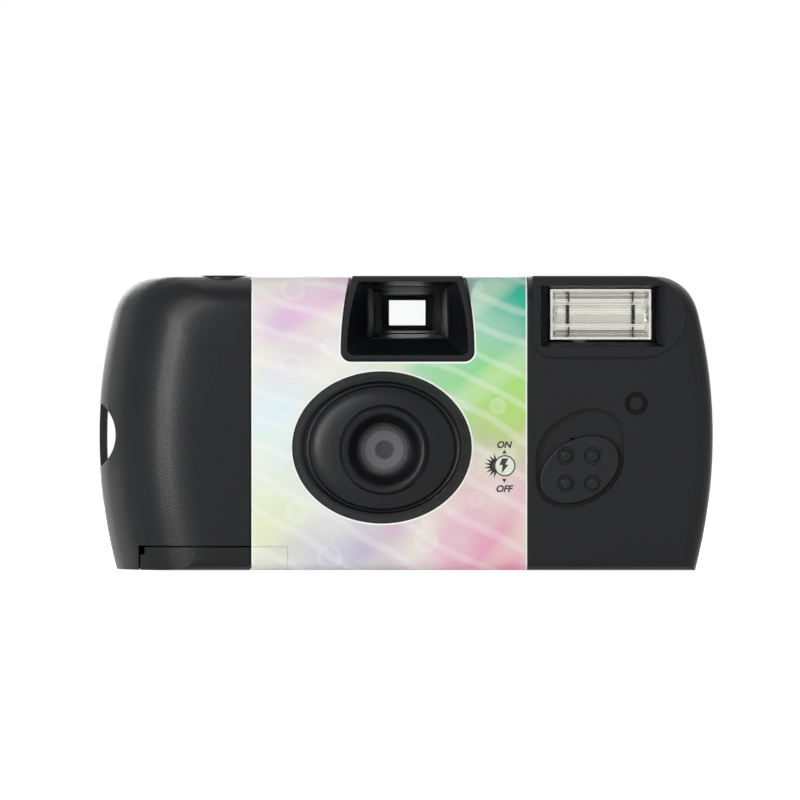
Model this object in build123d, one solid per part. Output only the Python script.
from build123d import *
import math
import os

# A single-use film camera with a built-in flash, taken apart into its real pieces.
# A value that ends in _DROP is a depth below the top of the camera.
# Millimetres. +X is to the right seen from the front, the front looks along -Y, +Z is up.
# The origin is under the middle of the camera, on the surface that it stands on.

# Housing: overall size and the roundings of its edges
BODY_WIDTH = 108.0
BODY_HEIGHT = 51.5
FRONT_Y = -13.0
PARTING_Y = 6.0
REAR_Y = 17.0
WALL = 1.2
SIDE_BOW_RADIUS = 90.0
SIDE_BOW_Z = 23.5
TOP_CORNER_RADIUS = 7.5
BOTTOM_CORNER_RADIUS = 2.6
GRIP_ROUND = 17.0
FRONT_TOP_ROUND = 6.5
FRONT_RIGHT_ROUND = 3.2
FRONT_BOTTOM_ROUND = 2.0
REAR_SIDE_ROUND = 5.0
REAR_TOP_ROUND = 4.0
REAR_BOTTOM_ROUND = 2.2
ROUND_STEPS = 7
STATION_SPACING = 0.16
OVERRUN = 2.0

# Clearances
RUNNING_FIT = 0.06
MOVING_GAP = 0.3
SEAT_GAP = 0.05

# Label band
LABEL_LEFT_X = -26.8
LABEL_RIGHT_X = 21.4
LABEL_THICKNESS = 0.3
LABEL_SIDE_GAP = 0.35
LABEL_CUT_GAP = 0.12

# Lens and its surround
LENS_X = -3.6
LENS_Z = 21.1
SURROUND_X = -4.0
SURROUND_Z = 21.5
SURROUND_HALF_WIDTH = 15.6
SURROUND_HALF_HEIGHT = 13.2
SURROUND_RISE = 1.7
SURROUND_LEAN = 1.1
RIDGE_WIDTH = 0.5
BOWL_DEPTH = 0.9
BOWL_FLOOR_RADIUS = 8.5
SURROUND_WALL = 0.9
HOOD_RADIUS = 7.9
HOOD_TIP_RADIUS = 7.1
HOOD_FRONT_Y = -17.0
HOOD_LIP = 0.55
FUNNEL_FRONT_RADIUS = 6.3
FUNNEL_REAR_RADIUS = 4.7
FUNNEL_REAR_Y = -14.1
FUNNEL_LIP = 0.5

LENS_RADIUS = 4.9
LENS_EDGE = 1.1
LENS_FRONT_CROWN = 0.55
LENS_REAR_CROWN = 0.35
LENS_FRONT_Y = -13.45
HOLDER_RADIUS = 6.3
HOLDER_FLANGE_RADIUS = 8.0
HOLDER_FLANGE = 1.2
HOLDER_POST_RADIUS = 0.9
HOLDER_REAR_Y = -9.7
STOP_RADIUS = 1.6
STOP_THICKNESS = 0.5
STOP_STEP_RADIUS = 3.3
LENS_SEAT_RADIUS = 4.6

# Viewfinder hood in the front cover, its frame and its two lenses
HOOD_LEFT_X = -11.1
HOOD_RIGHT_X = 12.1
HOOD_BOTTOM_DROP = 14.9
HOOD_TOP_INSET = 2.0
HOOD_SIDE_BOW = 0.6
HOOD_CORNER = 1.7
HOOD_PROUD = 0.4
HOOD_EDGE = 1.0
HOOD_EDGE_CHAMFER = 0.3
FINDER_LEFT_X = -6.6
FINDER_RIGHT_X = 7.7
FINDER_BOTTOM_DROP = 11.0
FINDER_TOP_DROP = 1.7
FINDER_REAR_Y = 15.4
FINDER_WALL = 0.45
HOOD_REAR_Y = -8.0
FINDER_SIGHT_LEFT_X = -2.9
FINDER_SIGHT_RIGHT_X = 3.8
FINDER_SIGHT_BOTTOM_DROP = 8.5
FINDER_SIGHT_TOP_DROP = 3.9
FINDER_STEP = 1.4
FINDER_LENS_THICKNESS = 1.6
FINDER_LENS_CURVE = 26.0
EYEPIECE_CURVE = 15.0
EYEPIECE_WIDTH = 9.0
EYEPIECE_HEIGHT = 6.0

# Flash unit in the top right corner
PAD_LEFT_X = 22.4
PAD_BOTTOM_DROP = 14.4
PAD_RIGHT_X = 49.0
PAD_PROUD = 0.6
PAD_CORNER = 3.4
PAD_EDGE_CHAMFER = 0.3
FLASH_LEFT_X = 23.8
FLASH_RIGHT_X = 45.7
FLASH_BOTTOM_DROP = 12.4
FLASH_TOP_DROP = 1.7
FLASH_INNER_LEFT_X = 24.9
FLASH_INNER_RIGHT_X = 44.1
FLASH_INNER_BOTTOM_DROP = 11.6
FLASH_INNER_TOP_DROP = 2.0
FLASH_DEPTH = 1.5
PANE_LEFT_X = 25.5
PANE_RIGHT_X = 43.1
PANE_BOTTOM_DROP = 11.1
PANE_TOP_DROP = 2.3
PANE_FACE = 0.9
PANE_FLANGE = 0.5
PANE_FLANGE_WIDTH = 0.45
PANE_CORNER = 0.9
PANE_RIBS = 9
PANE_RIB_DEPTH = 0.25
REFLECTOR_DEPTH = 5.0
REFLECTOR_WALL = 0.4
REFLECTOR_SLOPE = 1.3
TUBE_RADIUS = 1.5
TUBE_LENGTH = 15.4
TUBE_PIN_RADIUS = 0.35
TUBE_PIN_LENGTH = 1.4

# Flash switch
POCKET_X = 30.6
POCKET_HALF_LENGTH = 8.3
POCKET_HALF_WIDTH = 6.0
POCKET_TILT = 32.0
POCKET_TRAVEL = 4.0
POCKET_DEPTH = 1.5
POCKET_FLOOR = 0.9
SWITCH_Z = 17.6
SWITCH_HALF_LENGTH = 7.6
SWITCH_HALF_WIDTH = 5.3
SWITCH_THICKNESS = 1.3
SWITCH_CROWN = 0.25
NUB_SPACING_X = 4.7
NUB_SPACING_Z = 4.8
NUB_RADIUS = 1.0
NUB_HEIGHT = 0.7
MOAT_RADIUS = 1.5
MOAT_DEPTH = 0.35
SWITCH_STEM_WIDTH = 2.6
SWITCH_STEM_REAR_Y = -4.6
GUIDE_WIDTH = 2.2
GUIDE_TIP_CHAMFER = 0.3

# Small round hole beside the switch
PORT_X = 40.5
PORT_Z = 29.2
PORT_RADIUS = 2.0
PORT_DEPTH = 2.4
PORT_BOSS_RADIUS = 1.2
PORT_WALL = 0.7

# Strap lug on the left side
LUG_NOTCH_RADIUS = 7.0
LUG_NOTCH_DEPTH = 3.2
LUG_Z = 23.7
LUG_BAR_THICKNESS = 1.3
LUG_BAR_FRONT_Y = 6.0
LUG_BAR_REAR_Y = 9.5

# Film cartridge and its door
CARTRIDGE_X = -34.0
CARTRIDGE_Y = 3.2
CARTRIDGE_RADIUS = 12.4
CARTRIDGE_BOTTOM_Z = 1.7
CARTRIDGE_TOP_Z = 44.2
CARTRIDGE_SHELL = 0.35
CARTRIDGE_CAP_DEPTH = 1.6
LIP_LENGTH = 10.5
LIP_THICKNESS = 1.4
LIP_MARGIN = 1.5
SPOOL_RADIUS = 5.6
SPOOL_STUB_RADIUS = 3.4
SPOOL_FLANGE_RADIUS = 10.5
SPOOL_FLANGE = 0.8
SPOOL_STUB_LENGTH = 2.2
SPOOL_KEY_WIDTH = 1.2
DOOR_LEFT_X = -46.4
DOOR_RIGHT_X = -20.6
DOOR_FLAP_Z = 4.0
DOOR_GAP = 0.3
DOOR_HINGE_Y = 15.0
DOOR_HINGE_RADIUS = 0.6
DOOR_WALL = 1.1
DOOR_FINGER_NOTCH = 0.8
DOOR_NOTCH_HEIGHT = 1.3

# Film
FILM_BOTTOM_Z = 5.3
FILM_WIDTH = 35.0
FILM_Y = 14.9
FILM_THICKNESS = 0.2
PERFORATION_PITCH = 4.75
PERFORATION_WIDTH = 2.8
PERFORATION_LENGTH = 2.0
PERFORATION_EDGE = 2.0
ROLL_X = 40.0
ROLL_RADIUS = 8.1
ROLL_SPOOL_RADIUS = 3.4
ROLL_SPOOL_OVERHANG = 1.4
ROLL_SPOOL_PIN = 1.7

# Main body
GATE_WIDTH = 36.0
GATE_HEIGHT = 24.0
GATE_THICKNESS = 2.0
GATE_LEFT_X = -22.9
GATE_RIGHT_X = 33.0
GATE_TOP_Z = 40.8
RAIL_THICKNESS = 0.15
CONE_WALL = 0.9
CONE_FRONT_WIDTH = 12.0
CONE_FRONT_HEIGHT = 10.0
SHUTTER_WALL_Y = -8.5
SHUTTER_WALL = 1.0
SHUTTER_WALL_LEFT_X = -20.4
SHUTTER_WALL_RIGHT_X = 12.5
SHUTTER_WALL_BOTTOM_Z = 13.2
SHUTTER_WALL_TOP_DROP = 15.3
CHAMBER_GAP = 0.5
CHAMBER_WALL = 1.0
CHAMBER_BOTTOM_Z = 1.7
DECK_BOTTOM_DROP = 8.6
DECK_THICKNESS = 1.2
DECK_LEFT_X = -21.5
DECK_RIGHT_X = -11.5
DECK_FRONT_Y = -8.5

# Film advance: wheel, sprocket, cam and counter
WHEEL_RADIUS = 13.8
WHEEL_BOTTOM_DROP = 6.9
WHEEL_THICKNESS = 2.5
WHEEL_RIDGES = 60
WHEEL_RIDGE_DEPTH = 0.5
WHEEL_RIDGE_PHASE = -0.6
WHEEL_DISH_RADIUS = 10.5
WHEEL_DISH_DEPTH = 1.0
WHEEL_HUB_RADIUS = 4.4
WHEEL_PIN_RADIUS = 1.5
SCOOP_LEFT_X = -44.0
SCOOP_RIGHT_X = -27.3
SCOOP_DEPTH = 1.7
SCOOP_BOTTOM_DROP = 7.2
SCOOP_SLOPE = 0.6
SPROCKET_X = -15.6
SPROCKET_FILM_GAP = 0.2
SPROCKET_POCKET_GAP = 0.4
SPROCKET_TEETH = 8
SPROCKET_TOOTH_HEIGHT = 0.5
SPROCKET_TOOTH_WIDTH = 1.1
SPROCKET_THICKNESS = 2.2
SPROCKET_SHAFT_RADIUS = 1.5
CAM_RADIUS = 3.2
CAM_LOBE = 1.0
CAM_LOBE_ANGLE = 66.0
CAM_THICKNESS = 1.3
CAM_BOTTOM_DROP = 7.1
FINGER_BOTTOM_DROP = 3.8
FINGER_THICKNESS = 1.0
FINGER_WIDTH = 0.5
COUNTER_X = -16.2
COUNTER_Y = -1.2
COUNTER_RADIUS = 6.4
COUNTER_TEETH = 32
COUNTER_TOOTH_DEPTH = 0.7
COUNTER_THICKNESS = 1.0
COUNTER_POST_RADIUS = 1.0
COUNTER_SEAT_RADIUS = 1.3
COUNTER_WINDOW_Y = -5.6
COUNTER_WINDOW_RADIUS = 2.2
COUNTER_WINDOW_FLANGE = 0.6
PAWL_WIDTH = 1.1
PAWL_HUB_RADIUS = 1.25
PAWL_TIP_X = -19.45
PAWL_TIP_Y = 4.2
PAWL_PIVOT_X = -18.4
PAWL_PIVOT_Y = 0.7
PAWL_PIN_RADIUS = 0.8
PAWL_THICKNESS = 1.4

# Release: button, lever, drive lever and shutter blade
BUTTON_X = -31.8
BUTTON_Y = -4.6
BUTTON_RADIUS = 4.2
BUTTON_TRAVEL = 0.8
BUTTON_PROUD = 0.2
BUTTON_DISH_DEPTH = 0.4
BUTTON_ARM_Y = -8.6
BUTTON_ARM_WIDTH = 1.2
BUTTON_ARM_THICKNESS = 0.8
BUTTON_ARM_GAP = 0.5
BUTTON_LEG_X = -14.4
BUTTON_LEG_WIDTH = 0.9
BUTTON_LEG_BOTTOM_DROP = 12.6
RELEASE_PIVOT_X = -18.2
RELEASE_PIVOT_DROP = 14.3
RELEASE_THICKNESS = 0.7
RELEASE_ARM_WIDTH = 1.6
RELEASE_HUB_RADIUS = 1.5
RELEASE_PIN_RADIUS = 0.7
RELEASE_TAIL_LENGTH = 4.0
RELEASE_FOOT_WIDTH = 0.5
DRIVE_PIVOT_X = -13.0
DRIVE_PIVOT_Y = 0.6
DRIVE_THICKNESS = 1.0
DRIVE_ARM_WIDTH = 1.4
DRIVE_HUB_RADIUS = 1.8
DRIVE_PIN_RADIUS = 0.9
DRIVE_FINGER_BOTTOM_Z = 31.4
DRIVE_FINGER_WIDTH = 1.0
DRIVE_TIP_HEIGHT = 1.2
DRIVE_TAIL_X = -15.0
DRIVE_TAIL_Y = 3.9
BLADE_Y = -9.2
BLADE_THICKNESS = 0.25
BLADE_PIVOT_X = -9.8
BLADE_PIVOT_Z = 28.6
BLADE_DISC_RADIUS = 2.8
BLADE_ARM_WIDTH = 2.0
BLADE_PIN_RADIUS = 0.6
BLADE_HUB_RADIUS = 1.6
BLADE_EAR_HEIGHT = 4.4
BLADE_EAR_WIDTH = 1.5
SPRING_WIRE_RADIUS = 0.16
SPRING_PITCH = 0.55
PIVOT_SPRING_TURNS = 3
BUTTON_SPRING_TURNS = 5
BUTTON_SPRING_RADIUS = 0.8
BUTTON_SPRING_X = -24.0
BUTTON_BRACKET_WIDTH = 4.2

# Battery and flash electronics
BATTERY_RADIUS = 5.25
BATTERY_LENGTH = 43.5
BATTERY_NUB_RADIUS = 1.9
BATTERY_NUB_LENGTH = 1.0
BATTERY_LEFT_X = -18.9
BATTERY_Y = -6.0
BATTERY_Z = 7.1
CRADLE_WALL = 1.0
CRADLE_REACH = 3.0
CONTACT_THICKNESS = 0.4
CONTACT_WIDTH = 6.0
CONTACT_HEIGHT = 9.0
BOARD_LEFT_X = 21.8
BOARD_RIGHT_X = 49.0
BOARD_BOTTOM_Z = 3.0
BOARD_TOP_Z = 36.4
BOARD_FRONT_Y = -9.0
BOARD_THICKNESS = 1.0
BOARD_SLOT_WIDTH = 3.6
CAPACITOR_X = 22.2
CAPACITOR_RADIUS = 6.1
CAPACITOR_BOTTOM_Z = 13.6
CAPACITOR_LENGTH = 24.0
CAPACITOR_GROOVE = 0.4
TRANSFORMER_X = 32.7
TRANSFORMER_Y = -5.5
TRANSFORMER_WIDTH = 7.6
TRANSFORMER_DEPTH = 4.6
TRANSFORMER_HEIGHT = 8.0
TRANSFORMER_BOTTOM_Z = 3.4
TRANSFORMER_WINDING_RADIUS = 2.2
COIL_X = 38.0
COIL_Y = -5.6
COIL_RADIUS = 1.9
COIL_BOTTOM_Z = 27.5
COIL_LENGTH = 7.5
LAMP_X = 34.4
LAMP_RADIUS = 1.4
LAMP_LENGTH = 8.0
LAMP_BOTTOM_Z = 26.0
RESISTOR_RADIUS = 0.9
RESISTOR_LENGTH = 5.0
RESISTOR_COUNT = 3
RESISTOR_SPACING = 3.2
TRANSISTOR_WIDTH = 4.6
TRANSISTOR_DEPTH = 3.4
TRANSISTOR_HEIGHT = 4.6
SYNC_LEAF_WIDTH = 1.6
SYNC_LEAF_GAP = 0.9
SYNC_LEAF_THICKNESS = 0.3
SYNC_LEAF_LENGTH = 7.2
SYNC_LEAF_X = 4.6
SYNC_LEAF_Z = 30.5

# Places worked out from the sizes above
HOOD_BOTTOM_Z = BODY_HEIGHT - HOOD_BOTTOM_DROP
FINDER_BOTTOM_Z = BODY_HEIGHT - FINDER_BOTTOM_DROP
FINDER_TOP_Z = BODY_HEIGHT - FINDER_TOP_DROP
FINDER_SIGHT_BOTTOM_Z = BODY_HEIGHT - FINDER_SIGHT_BOTTOM_DROP
FINDER_SIGHT_TOP_Z = BODY_HEIGHT - FINDER_SIGHT_TOP_DROP
PAD_BOTTOM_Z = BODY_HEIGHT - PAD_BOTTOM_DROP
FLASH_BOTTOM_Z = BODY_HEIGHT - FLASH_BOTTOM_DROP
FLASH_TOP_Z = BODY_HEIGHT - FLASH_TOP_DROP
FLASH_INNER_BOTTOM_Z = BODY_HEIGHT - FLASH_INNER_BOTTOM_DROP
FLASH_INNER_TOP_Z = BODY_HEIGHT - FLASH_INNER_TOP_DROP
PANE_BOTTOM_Z = BODY_HEIGHT - PANE_BOTTOM_DROP
PANE_TOP_Z = BODY_HEIGHT - PANE_TOP_DROP
WHEEL_BOTTOM_Z = BODY_HEIGHT - WHEEL_BOTTOM_DROP
SCOOP_BOTTOM_Z = BODY_HEIGHT - SCOOP_BOTTOM_DROP
CAM_BOTTOM_Z = BODY_HEIGHT - CAM_BOTTOM_DROP
FINGER_BOTTOM_Z = BODY_HEIGHT - FINGER_BOTTOM_DROP
DECK_BOTTOM_Z = BODY_HEIGHT - DECK_BOTTOM_DROP
BUTTON_LEG_BOTTOM_Z = BODY_HEIGHT - BUTTON_LEG_BOTTOM_DROP
RELEASE_PIVOT_Z = BODY_HEIGHT - RELEASE_PIVOT_DROP
SHUTTER_WALL_TOP_Z = BODY_HEIGHT - SHUTTER_WALL_TOP_DROP
FRONT_INNER_Y = FRONT_Y + WALL
FILM_MID_Z = FILM_BOTTOM_Z + FILM_WIDTH / 2
FILM_TOP_Z = FILM_BOTTOM_Z + FILM_WIDTH
WHEEL_TOP_Z = WHEEL_BOTTOM_Z + WHEEL_THICKNESS
DECK_TOP_Z = DECK_BOTTOM_Z + DECK_THICKNESS
GATE_REAR_Y = FILM_Y - RAIL_THICKNESS
GATE_FRONT_Y = GATE_REAR_Y - GATE_THICKNESS
LAYER_Y = SHUTTER_WALL_Y - MOVING_GAP
ROLL_Y = FILM_Y - MOVING_GAP - ROLL_RADIUS
SPROCKET_RADIUS = PERFORATION_PITCH * SPROCKET_TEETH / (2 * math.pi)
SPROCKET_Y = FILM_Y - SPROCKET_FILM_GAP - SPROCKET_RADIUS
SPROCKET_MID_Z = FILM_TOP_Z - PERFORATION_EDGE - PERFORATION_WIDTH / 2
COUNTER_BOTTOM_Z = FINGER_BOTTOM_Z
BATTERY_RIGHT_X = BATTERY_LEFT_X + BATTERY_LENGTH
BOARD_REAR_Y = BOARD_FRONT_Y + BOARD_THICKNESS
CAPACITOR_Y = BOARD_REAR_Y + SEAT_GAP + CAPACITOR_RADIUS
PANE_MID_X = (PANE_LEFT_X + PANE_RIGHT_X) / 2
PANE_MID_Z = (PANE_BOTTOM_Z + PANE_TOP_Z) / 2
PAD_Y = FRONT_Y - PAD_PROUD
FLASH_FLOOR_Y = PAD_Y + FLASH_DEPTH
TUBE_Y = FLASH_FLOOR_Y + REFLECTOR_DEPTH - TUBE_RADIUS
BUTTON_ARM_BOTTOM_Z = WHEEL_TOP_Z + BUTTON_TRAVEL + BUTTON_ARM_GAP
POCKET_FLOOR_Y = FRONT_Y + POCKET_DEPTH


def block(x_low, x_high, y_low, y_high, z_low, z_high):
    """A box between two corners."""
    centre = Pos((x_low + x_high) / 2, (y_low + y_high) / 2, (z_low + z_high) / 2)
    return centre * Box(x_high - x_low, y_high - y_low, z_high - z_low)


def rod_x(x_low, x_high, y, z, radius):
    """A round rod along X."""
    return Pos((x_low + x_high) / 2, y, z) * Rot(0, 90, 0) * Cylinder(radius, x_high - x_low)


def rod_y(x, z, radius, y_low, y_high):
    """A round rod along Y."""
    return Pos(x, (y_low + y_high) / 2, z) * Rot(90, 0, 0) * Cylinder(radius, y_high - y_low)


def rod_z(x, y, radius, z_low, z_high):
    """A round rod along Z."""
    return Pos(x, y, (z_low + z_high) / 2) * Cylinder(radius, z_high - z_low)


def front_plane(y):
    """A sketch plane that faces the viewer: sketch x is X, sketch y is Z."""
    return Plane(origin=(0, y, 0), x_dir=(1, 0, 0), z_dir=(0, -1, 0))


def side_plane(x):
    """A sketch plane that faces +X: sketch x is Y, sketch y is Z."""
    return Plane(origin=(x, 0, 0), x_dir=(0, 1, 0), z_dir=(1, 0, 0))


def round_inset(radius, depth):
    """How far a rounded edge of this radius draws the outline in at a depth behind its start."""
    if depth >= radius:
        return 0.0
    return radius - math.sqrt(radius ** 2 - (radius - depth) ** 2)


def housing_section(y, wall, left_inset, right_inset, top_inset, bottom_inset):
    """The housing's outline at one depth: bowed sides, a flat top and a flat bottom."""
    left_x = -BODY_WIDTH / 2 + wall + left_inset
    right_x = BODY_WIDTH / 2 - wall - right_inset
    top_z = BODY_HEIGHT - wall - top_inset
    bottom_z = wall + bottom_inset
    top_bow = SIDE_BOW_RADIUS - math.sqrt(SIDE_BOW_RADIUS ** 2 - (top_z - SIDE_BOW_Z) ** 2)
    bottom_bow = SIDE_BOW_RADIUS - math.sqrt(SIDE_BOW_RADIUS ** 2 - (bottom_z - SIDE_BOW_Z) ** 2)
    bottom_left = Vector(left_x + bottom_bow, y, bottom_z)
    bottom_right = Vector(right_x - bottom_bow, y, bottom_z)
    top_right = Vector(right_x - top_bow, y, top_z)
    top_left = Vector(left_x + top_bow, y, top_z)
    edges = [
        Line(bottom_left, bottom_right),
        ThreePointArc(bottom_right, Vector(right_x, y, SIDE_BOW_Z), top_right),
        Line(top_right, top_left),
        ThreePointArc(top_left, Vector(left_x, y, SIDE_BOW_Z), bottom_left),
    ]
    outline = Face(Wire(edges))
    top_corners = [v for v in outline.vertices() if v.Z > SIDE_BOW_Z]
    bottom_corners = [v for v in outline.vertices() if v.Z < SIDE_BOW_Z]
    outline = outline.fillet_2d(TOP_CORNER_RADIUS - wall, top_corners)
    return outline.fillet_2d(BOTTOM_CORNER_RADIUS - wall, bottom_corners)


def round_stations(radii, last_depth):
    """Depths at which a housing section is set: closer together where the roundings turn fast."""
    depths = {0.0, last_depth}
    for radius in radii:
        for step in range(1, ROUND_STEPS + 1):
            angle = math.pi / 2 * step / ROUND_STEPS
            depths.add(radius * (1 - math.cos(angle)))
    stations = []
    for depth in sorted(depths):
        if not stations or depth - stations[-1] > STATION_SPACING:
            stations.append(depth)
    stations[-1] = last_depth
    return stations


def front_half(wall):
    """The solid front half of the housing, drawn in by a wall thickness."""
    radii = [r - wall for r in (GRIP_ROUND, FRONT_RIGHT_ROUND, FRONT_TOP_ROUND, FRONT_BOTTOM_ROUND)]
    depth = PARTING_Y - FRONT_Y - wall
    sections = []
    for station in round_stations(radii, depth):
        insets = [round_inset(radius, station) for radius in radii]
        sections.append(housing_section(FRONT_Y + wall + station, wall, *insets))
    return loft(sections, ruled=True)


def rear_half(wall):
    """The solid rear half of the housing, drawn in by a wall thickness."""
    radii = [r - wall for r in (REAR_SIDE_ROUND, REAR_SIDE_ROUND, REAR_TOP_ROUND, REAR_BOTTOM_ROUND)]
    depth = REAR_Y - PARTING_Y - wall
    sections = []
    for station in reversed(round_stations(radii, depth)):
        insets = [round_inset(radius, station) for radius in radii]
        sections.append(housing_section(REAR_Y - wall - station, wall, *insets))
    return loft(sections, ruled=True)


def fillet_where(profile, radius, in_corner):
    """Round the corners of a sketch that a test picks out by its own x and y."""
    corners = [v for v in profile.vertices() if in_corner(v.X, v.Y)]
    return fillet(corners, radius)


def band_solid(inset, left_x, right_x):
    """The housing's plain section across the label band, as a solid between two places in X."""
    depth = REAR_Y - FRONT_Y - 2 * inset
    height = BODY_HEIGHT - 2 * inset
    middle_y = (FRONT_Y + REAR_Y) / 2
    profile = Rectangle(depth, height)
    profile = fillet_where(profile, FRONT_TOP_ROUND - inset, lambda x, y: x < 0 and y > 0)
    profile = fillet_where(profile, FRONT_BOTTOM_ROUND - inset, lambda x, y: x < 0 and y < -height / 2.1)
    profile = fillet_where(profile, REAR_TOP_ROUND - inset, lambda x, y: x > depth / 2.1 and y > 0)
    profile = fillet_where(profile, REAR_BOTTOM_ROUND - inset, lambda x, y: x > depth / 2.1 and y < 0)
    placed = side_plane(left_x) * Pos(middle_y, BODY_HEIGHT / 2) * profile
    return extrude(placed, right_x - left_x)


def front_of(solid):
    """The part of a solid in front of the parting line."""
    return solid & everything_between(-BODY_WIDTH, PARTING_Y)


def rear_of(solid):
    """The part of a solid behind the parting line."""
    return solid & everything_between(PARTING_Y, BODY_WIDTH)


def everything_between(y_low, y_high):
    """A block that holds the whole camera between two depths."""
    return block(-BODY_WIDTH, BODY_WIDTH, y_low, y_high, -BODY_HEIGHT, 2 * BODY_HEIGHT)


def recessed_for_label(half, keep):
    """A half of the housing with its middle drawn in by the label's thickness."""
    left_x = LABEL_LEFT_X - LABEL_SIDE_GAP
    middle = block(left_x, LABEL_RIGHT_X, -BODY_WIDTH, BODY_WIDTH, -OVERRUN, BODY_HEIGHT + OVERRUN)
    return (half - middle) + keep(band_solid(LABEL_THICKNESS, left_x, LABEL_RIGHT_X))


def surround_face(y, draw_in):
    """The lens surround's oval at one depth, drawn in from its widest."""
    oval = Ellipse(SURROUND_HALF_WIDTH - draw_in, SURROUND_HALF_HEIGHT - draw_in)
    return front_plane(y) * Pos(SURROUND_X, SURROUND_Z) * oval


def surround_solid():
    """The oval collar round the lens, with its sunk bowl."""
    top_y = FRONT_Y - SURROUND_RISE
    collar = loft([surround_face(FRONT_INNER_Y, 0.0), surround_face(FRONT_Y, 0.0)])
    collar += loft([surround_face(FRONT_Y, 0.0), surround_face(top_y, SURROUND_LEAN)])
    rim = surround_face(top_y, SURROUND_LEAN + RIDGE_WIDTH)
    floor = front_plane(top_y + BOWL_DEPTH) * Pos(LENS_X, LENS_Z) * Ellipse(BOWL_FLOOR_RADIUS, BOWL_FLOOR_RADIUS)
    return collar - loft([rim, floor])


def surround_hollow():
    """The space behind the collar, so that it keeps an even wall."""
    floor_y = FRONT_Y - SURROUND_RISE + BOWL_DEPTH + SURROUND_WALL
    draw_in = SURROUND_LEAN + SURROUND_WALL
    return loft([surround_face(FRONT_INNER_Y + SURROUND_WALL, draw_in), surround_face(floor_y, draw_in)])


def lens_turned(points):
    """A solid turned round the lens axis from points of radius and depth."""
    plane = Plane(origin=(LENS_X, 0, LENS_Z), x_dir=(1, 0, 0), z_dir=(0, 0, 1))
    outline = make_face(Polyline(*points, close=True))
    return revolve(plane * outline, Axis((LENS_X, 0, LENS_Z), (0, 1, 0)))


def lens_hood():
    """The round hood ring with its funnel, part of the front cover."""
    back_y = FUNNEL_REAR_Y + FUNNEL_LIP
    return lens_turned([
        (HOOD_RADIUS, FRONT_INNER_Y - SURROUND_WALL),
        (HOOD_RADIUS, HOOD_FRONT_Y + 2 * HOOD_LIP),
        (HOOD_TIP_RADIUS + HOOD_LIP / 2, HOOD_FRONT_Y + HOOD_LIP / 2),
        (HOOD_TIP_RADIUS, HOOD_FRONT_Y),
        (HOOD_TIP_RADIUS - HOOD_LIP / 2, HOOD_FRONT_Y),
        (FUNNEL_FRONT_RADIUS, HOOD_FRONT_Y + HOOD_LIP / 2),
        (FUNNEL_REAR_RADIUS, FUNNEL_REAR_Y),
        (FUNNEL_REAR_RADIUS, back_y),
        (HOLDER_RADIUS + SEAT_GAP, back_y),
        (HOLDER_RADIUS + SEAT_GAP, FRONT_INNER_Y - SURROUND_WALL),
    ])


def lens_bore():
    """What is cut through the front cover behind the hood for the lens holder."""
    return rod_y(LENS_X, LENS_Z, HOLDER_RADIUS + SEAT_GAP, FUNNEL_REAR_Y - OVERRUN, 0)


def hood_outline(draw_in, top_z):
    """The viewfinder hood's outline: wide at the foot, with bowed sides and rounded lower corners."""
    left_x, right_x = HOOD_LEFT_X + draw_in, HOOD_RIGHT_X - draw_in
    bottom_z = HOOD_BOTTOM_Z + draw_in
    middle_z = (bottom_z + top_z) / 2
    lean = HOOD_TOP_INSET / 2 - HOOD_SIDE_BOW
    edges = [
        Line((left_x, bottom_z), (right_x, bottom_z)),
        ThreePointArc((right_x, bottom_z), (right_x - lean, middle_z), (right_x - HOOD_TOP_INSET, top_z)),
        Line((right_x - HOOD_TOP_INSET, top_z), (left_x + HOOD_TOP_INSET, top_z)),
        ThreePointArc((left_x + HOOD_TOP_INSET, top_z), (left_x + lean, middle_z), (left_x, bottom_z)),
    ]
    outline = Face(Wire(edges))
    corners = [v for v in outline.vertices() if v.Y < middle_z]
    return outline.fillet_2d(HOOD_CORNER - draw_in / 2, corners)


def finder_rectangle(draw_in, corner):
    """The viewfinder tunnel's front opening, with rounded lower corners as the hood has."""
    left_x, right_x = FINDER_LEFT_X + draw_in, FINDER_RIGHT_X - draw_in
    bottom_z, top_z = FINDER_BOTTOM_Z + draw_in, FINDER_TOP_Z - draw_in
    edges = [
        Line((left_x, bottom_z), (right_x, bottom_z)),
        Line((right_x, bottom_z), (right_x, top_z)),
        Line((right_x, top_z), (left_x, top_z)),
        Line((left_x, top_z), (left_x, bottom_z)),
    ]
    outline = Face(Wire(edges))
    corners = [v for v in outline.vertices() if v.Y < (bottom_z + top_z) / 2]
    return outline.fillet_2d(corner, corners)


def finder_hood():
    """The raised block round the viewfinder, before its funnel is cut."""
    hood_y = FRONT_Y - HOOD_PROUD
    outline = front_plane(HOOD_REAR_Y) * hood_outline(0.0, BODY_HEIGHT)
    hood = extrude(outline, HOOD_REAR_Y - hood_y)
    front_edges = [e for e in hood.edges() if e.center().Y < hood_y + HOOD_EDGE_CHAMFER / 2]
    return chamfer(front_edges, HOOD_EDGE_CHAMFER)


def finder_funnel():
    """The funnel that leads in to the viewfinder."""
    front_y = FRONT_Y - HOOD_PROUD
    wide = front_plane(front_y) * hood_outline(HOOD_EDGE, BODY_HEIGHT - HOOD_EDGE)
    narrow = front_plane(HOOD_REAR_Y) * finder_rectangle(0.0, HOOD_CORNER / 2)
    return loft([wide, narrow], ruled=True)


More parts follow.
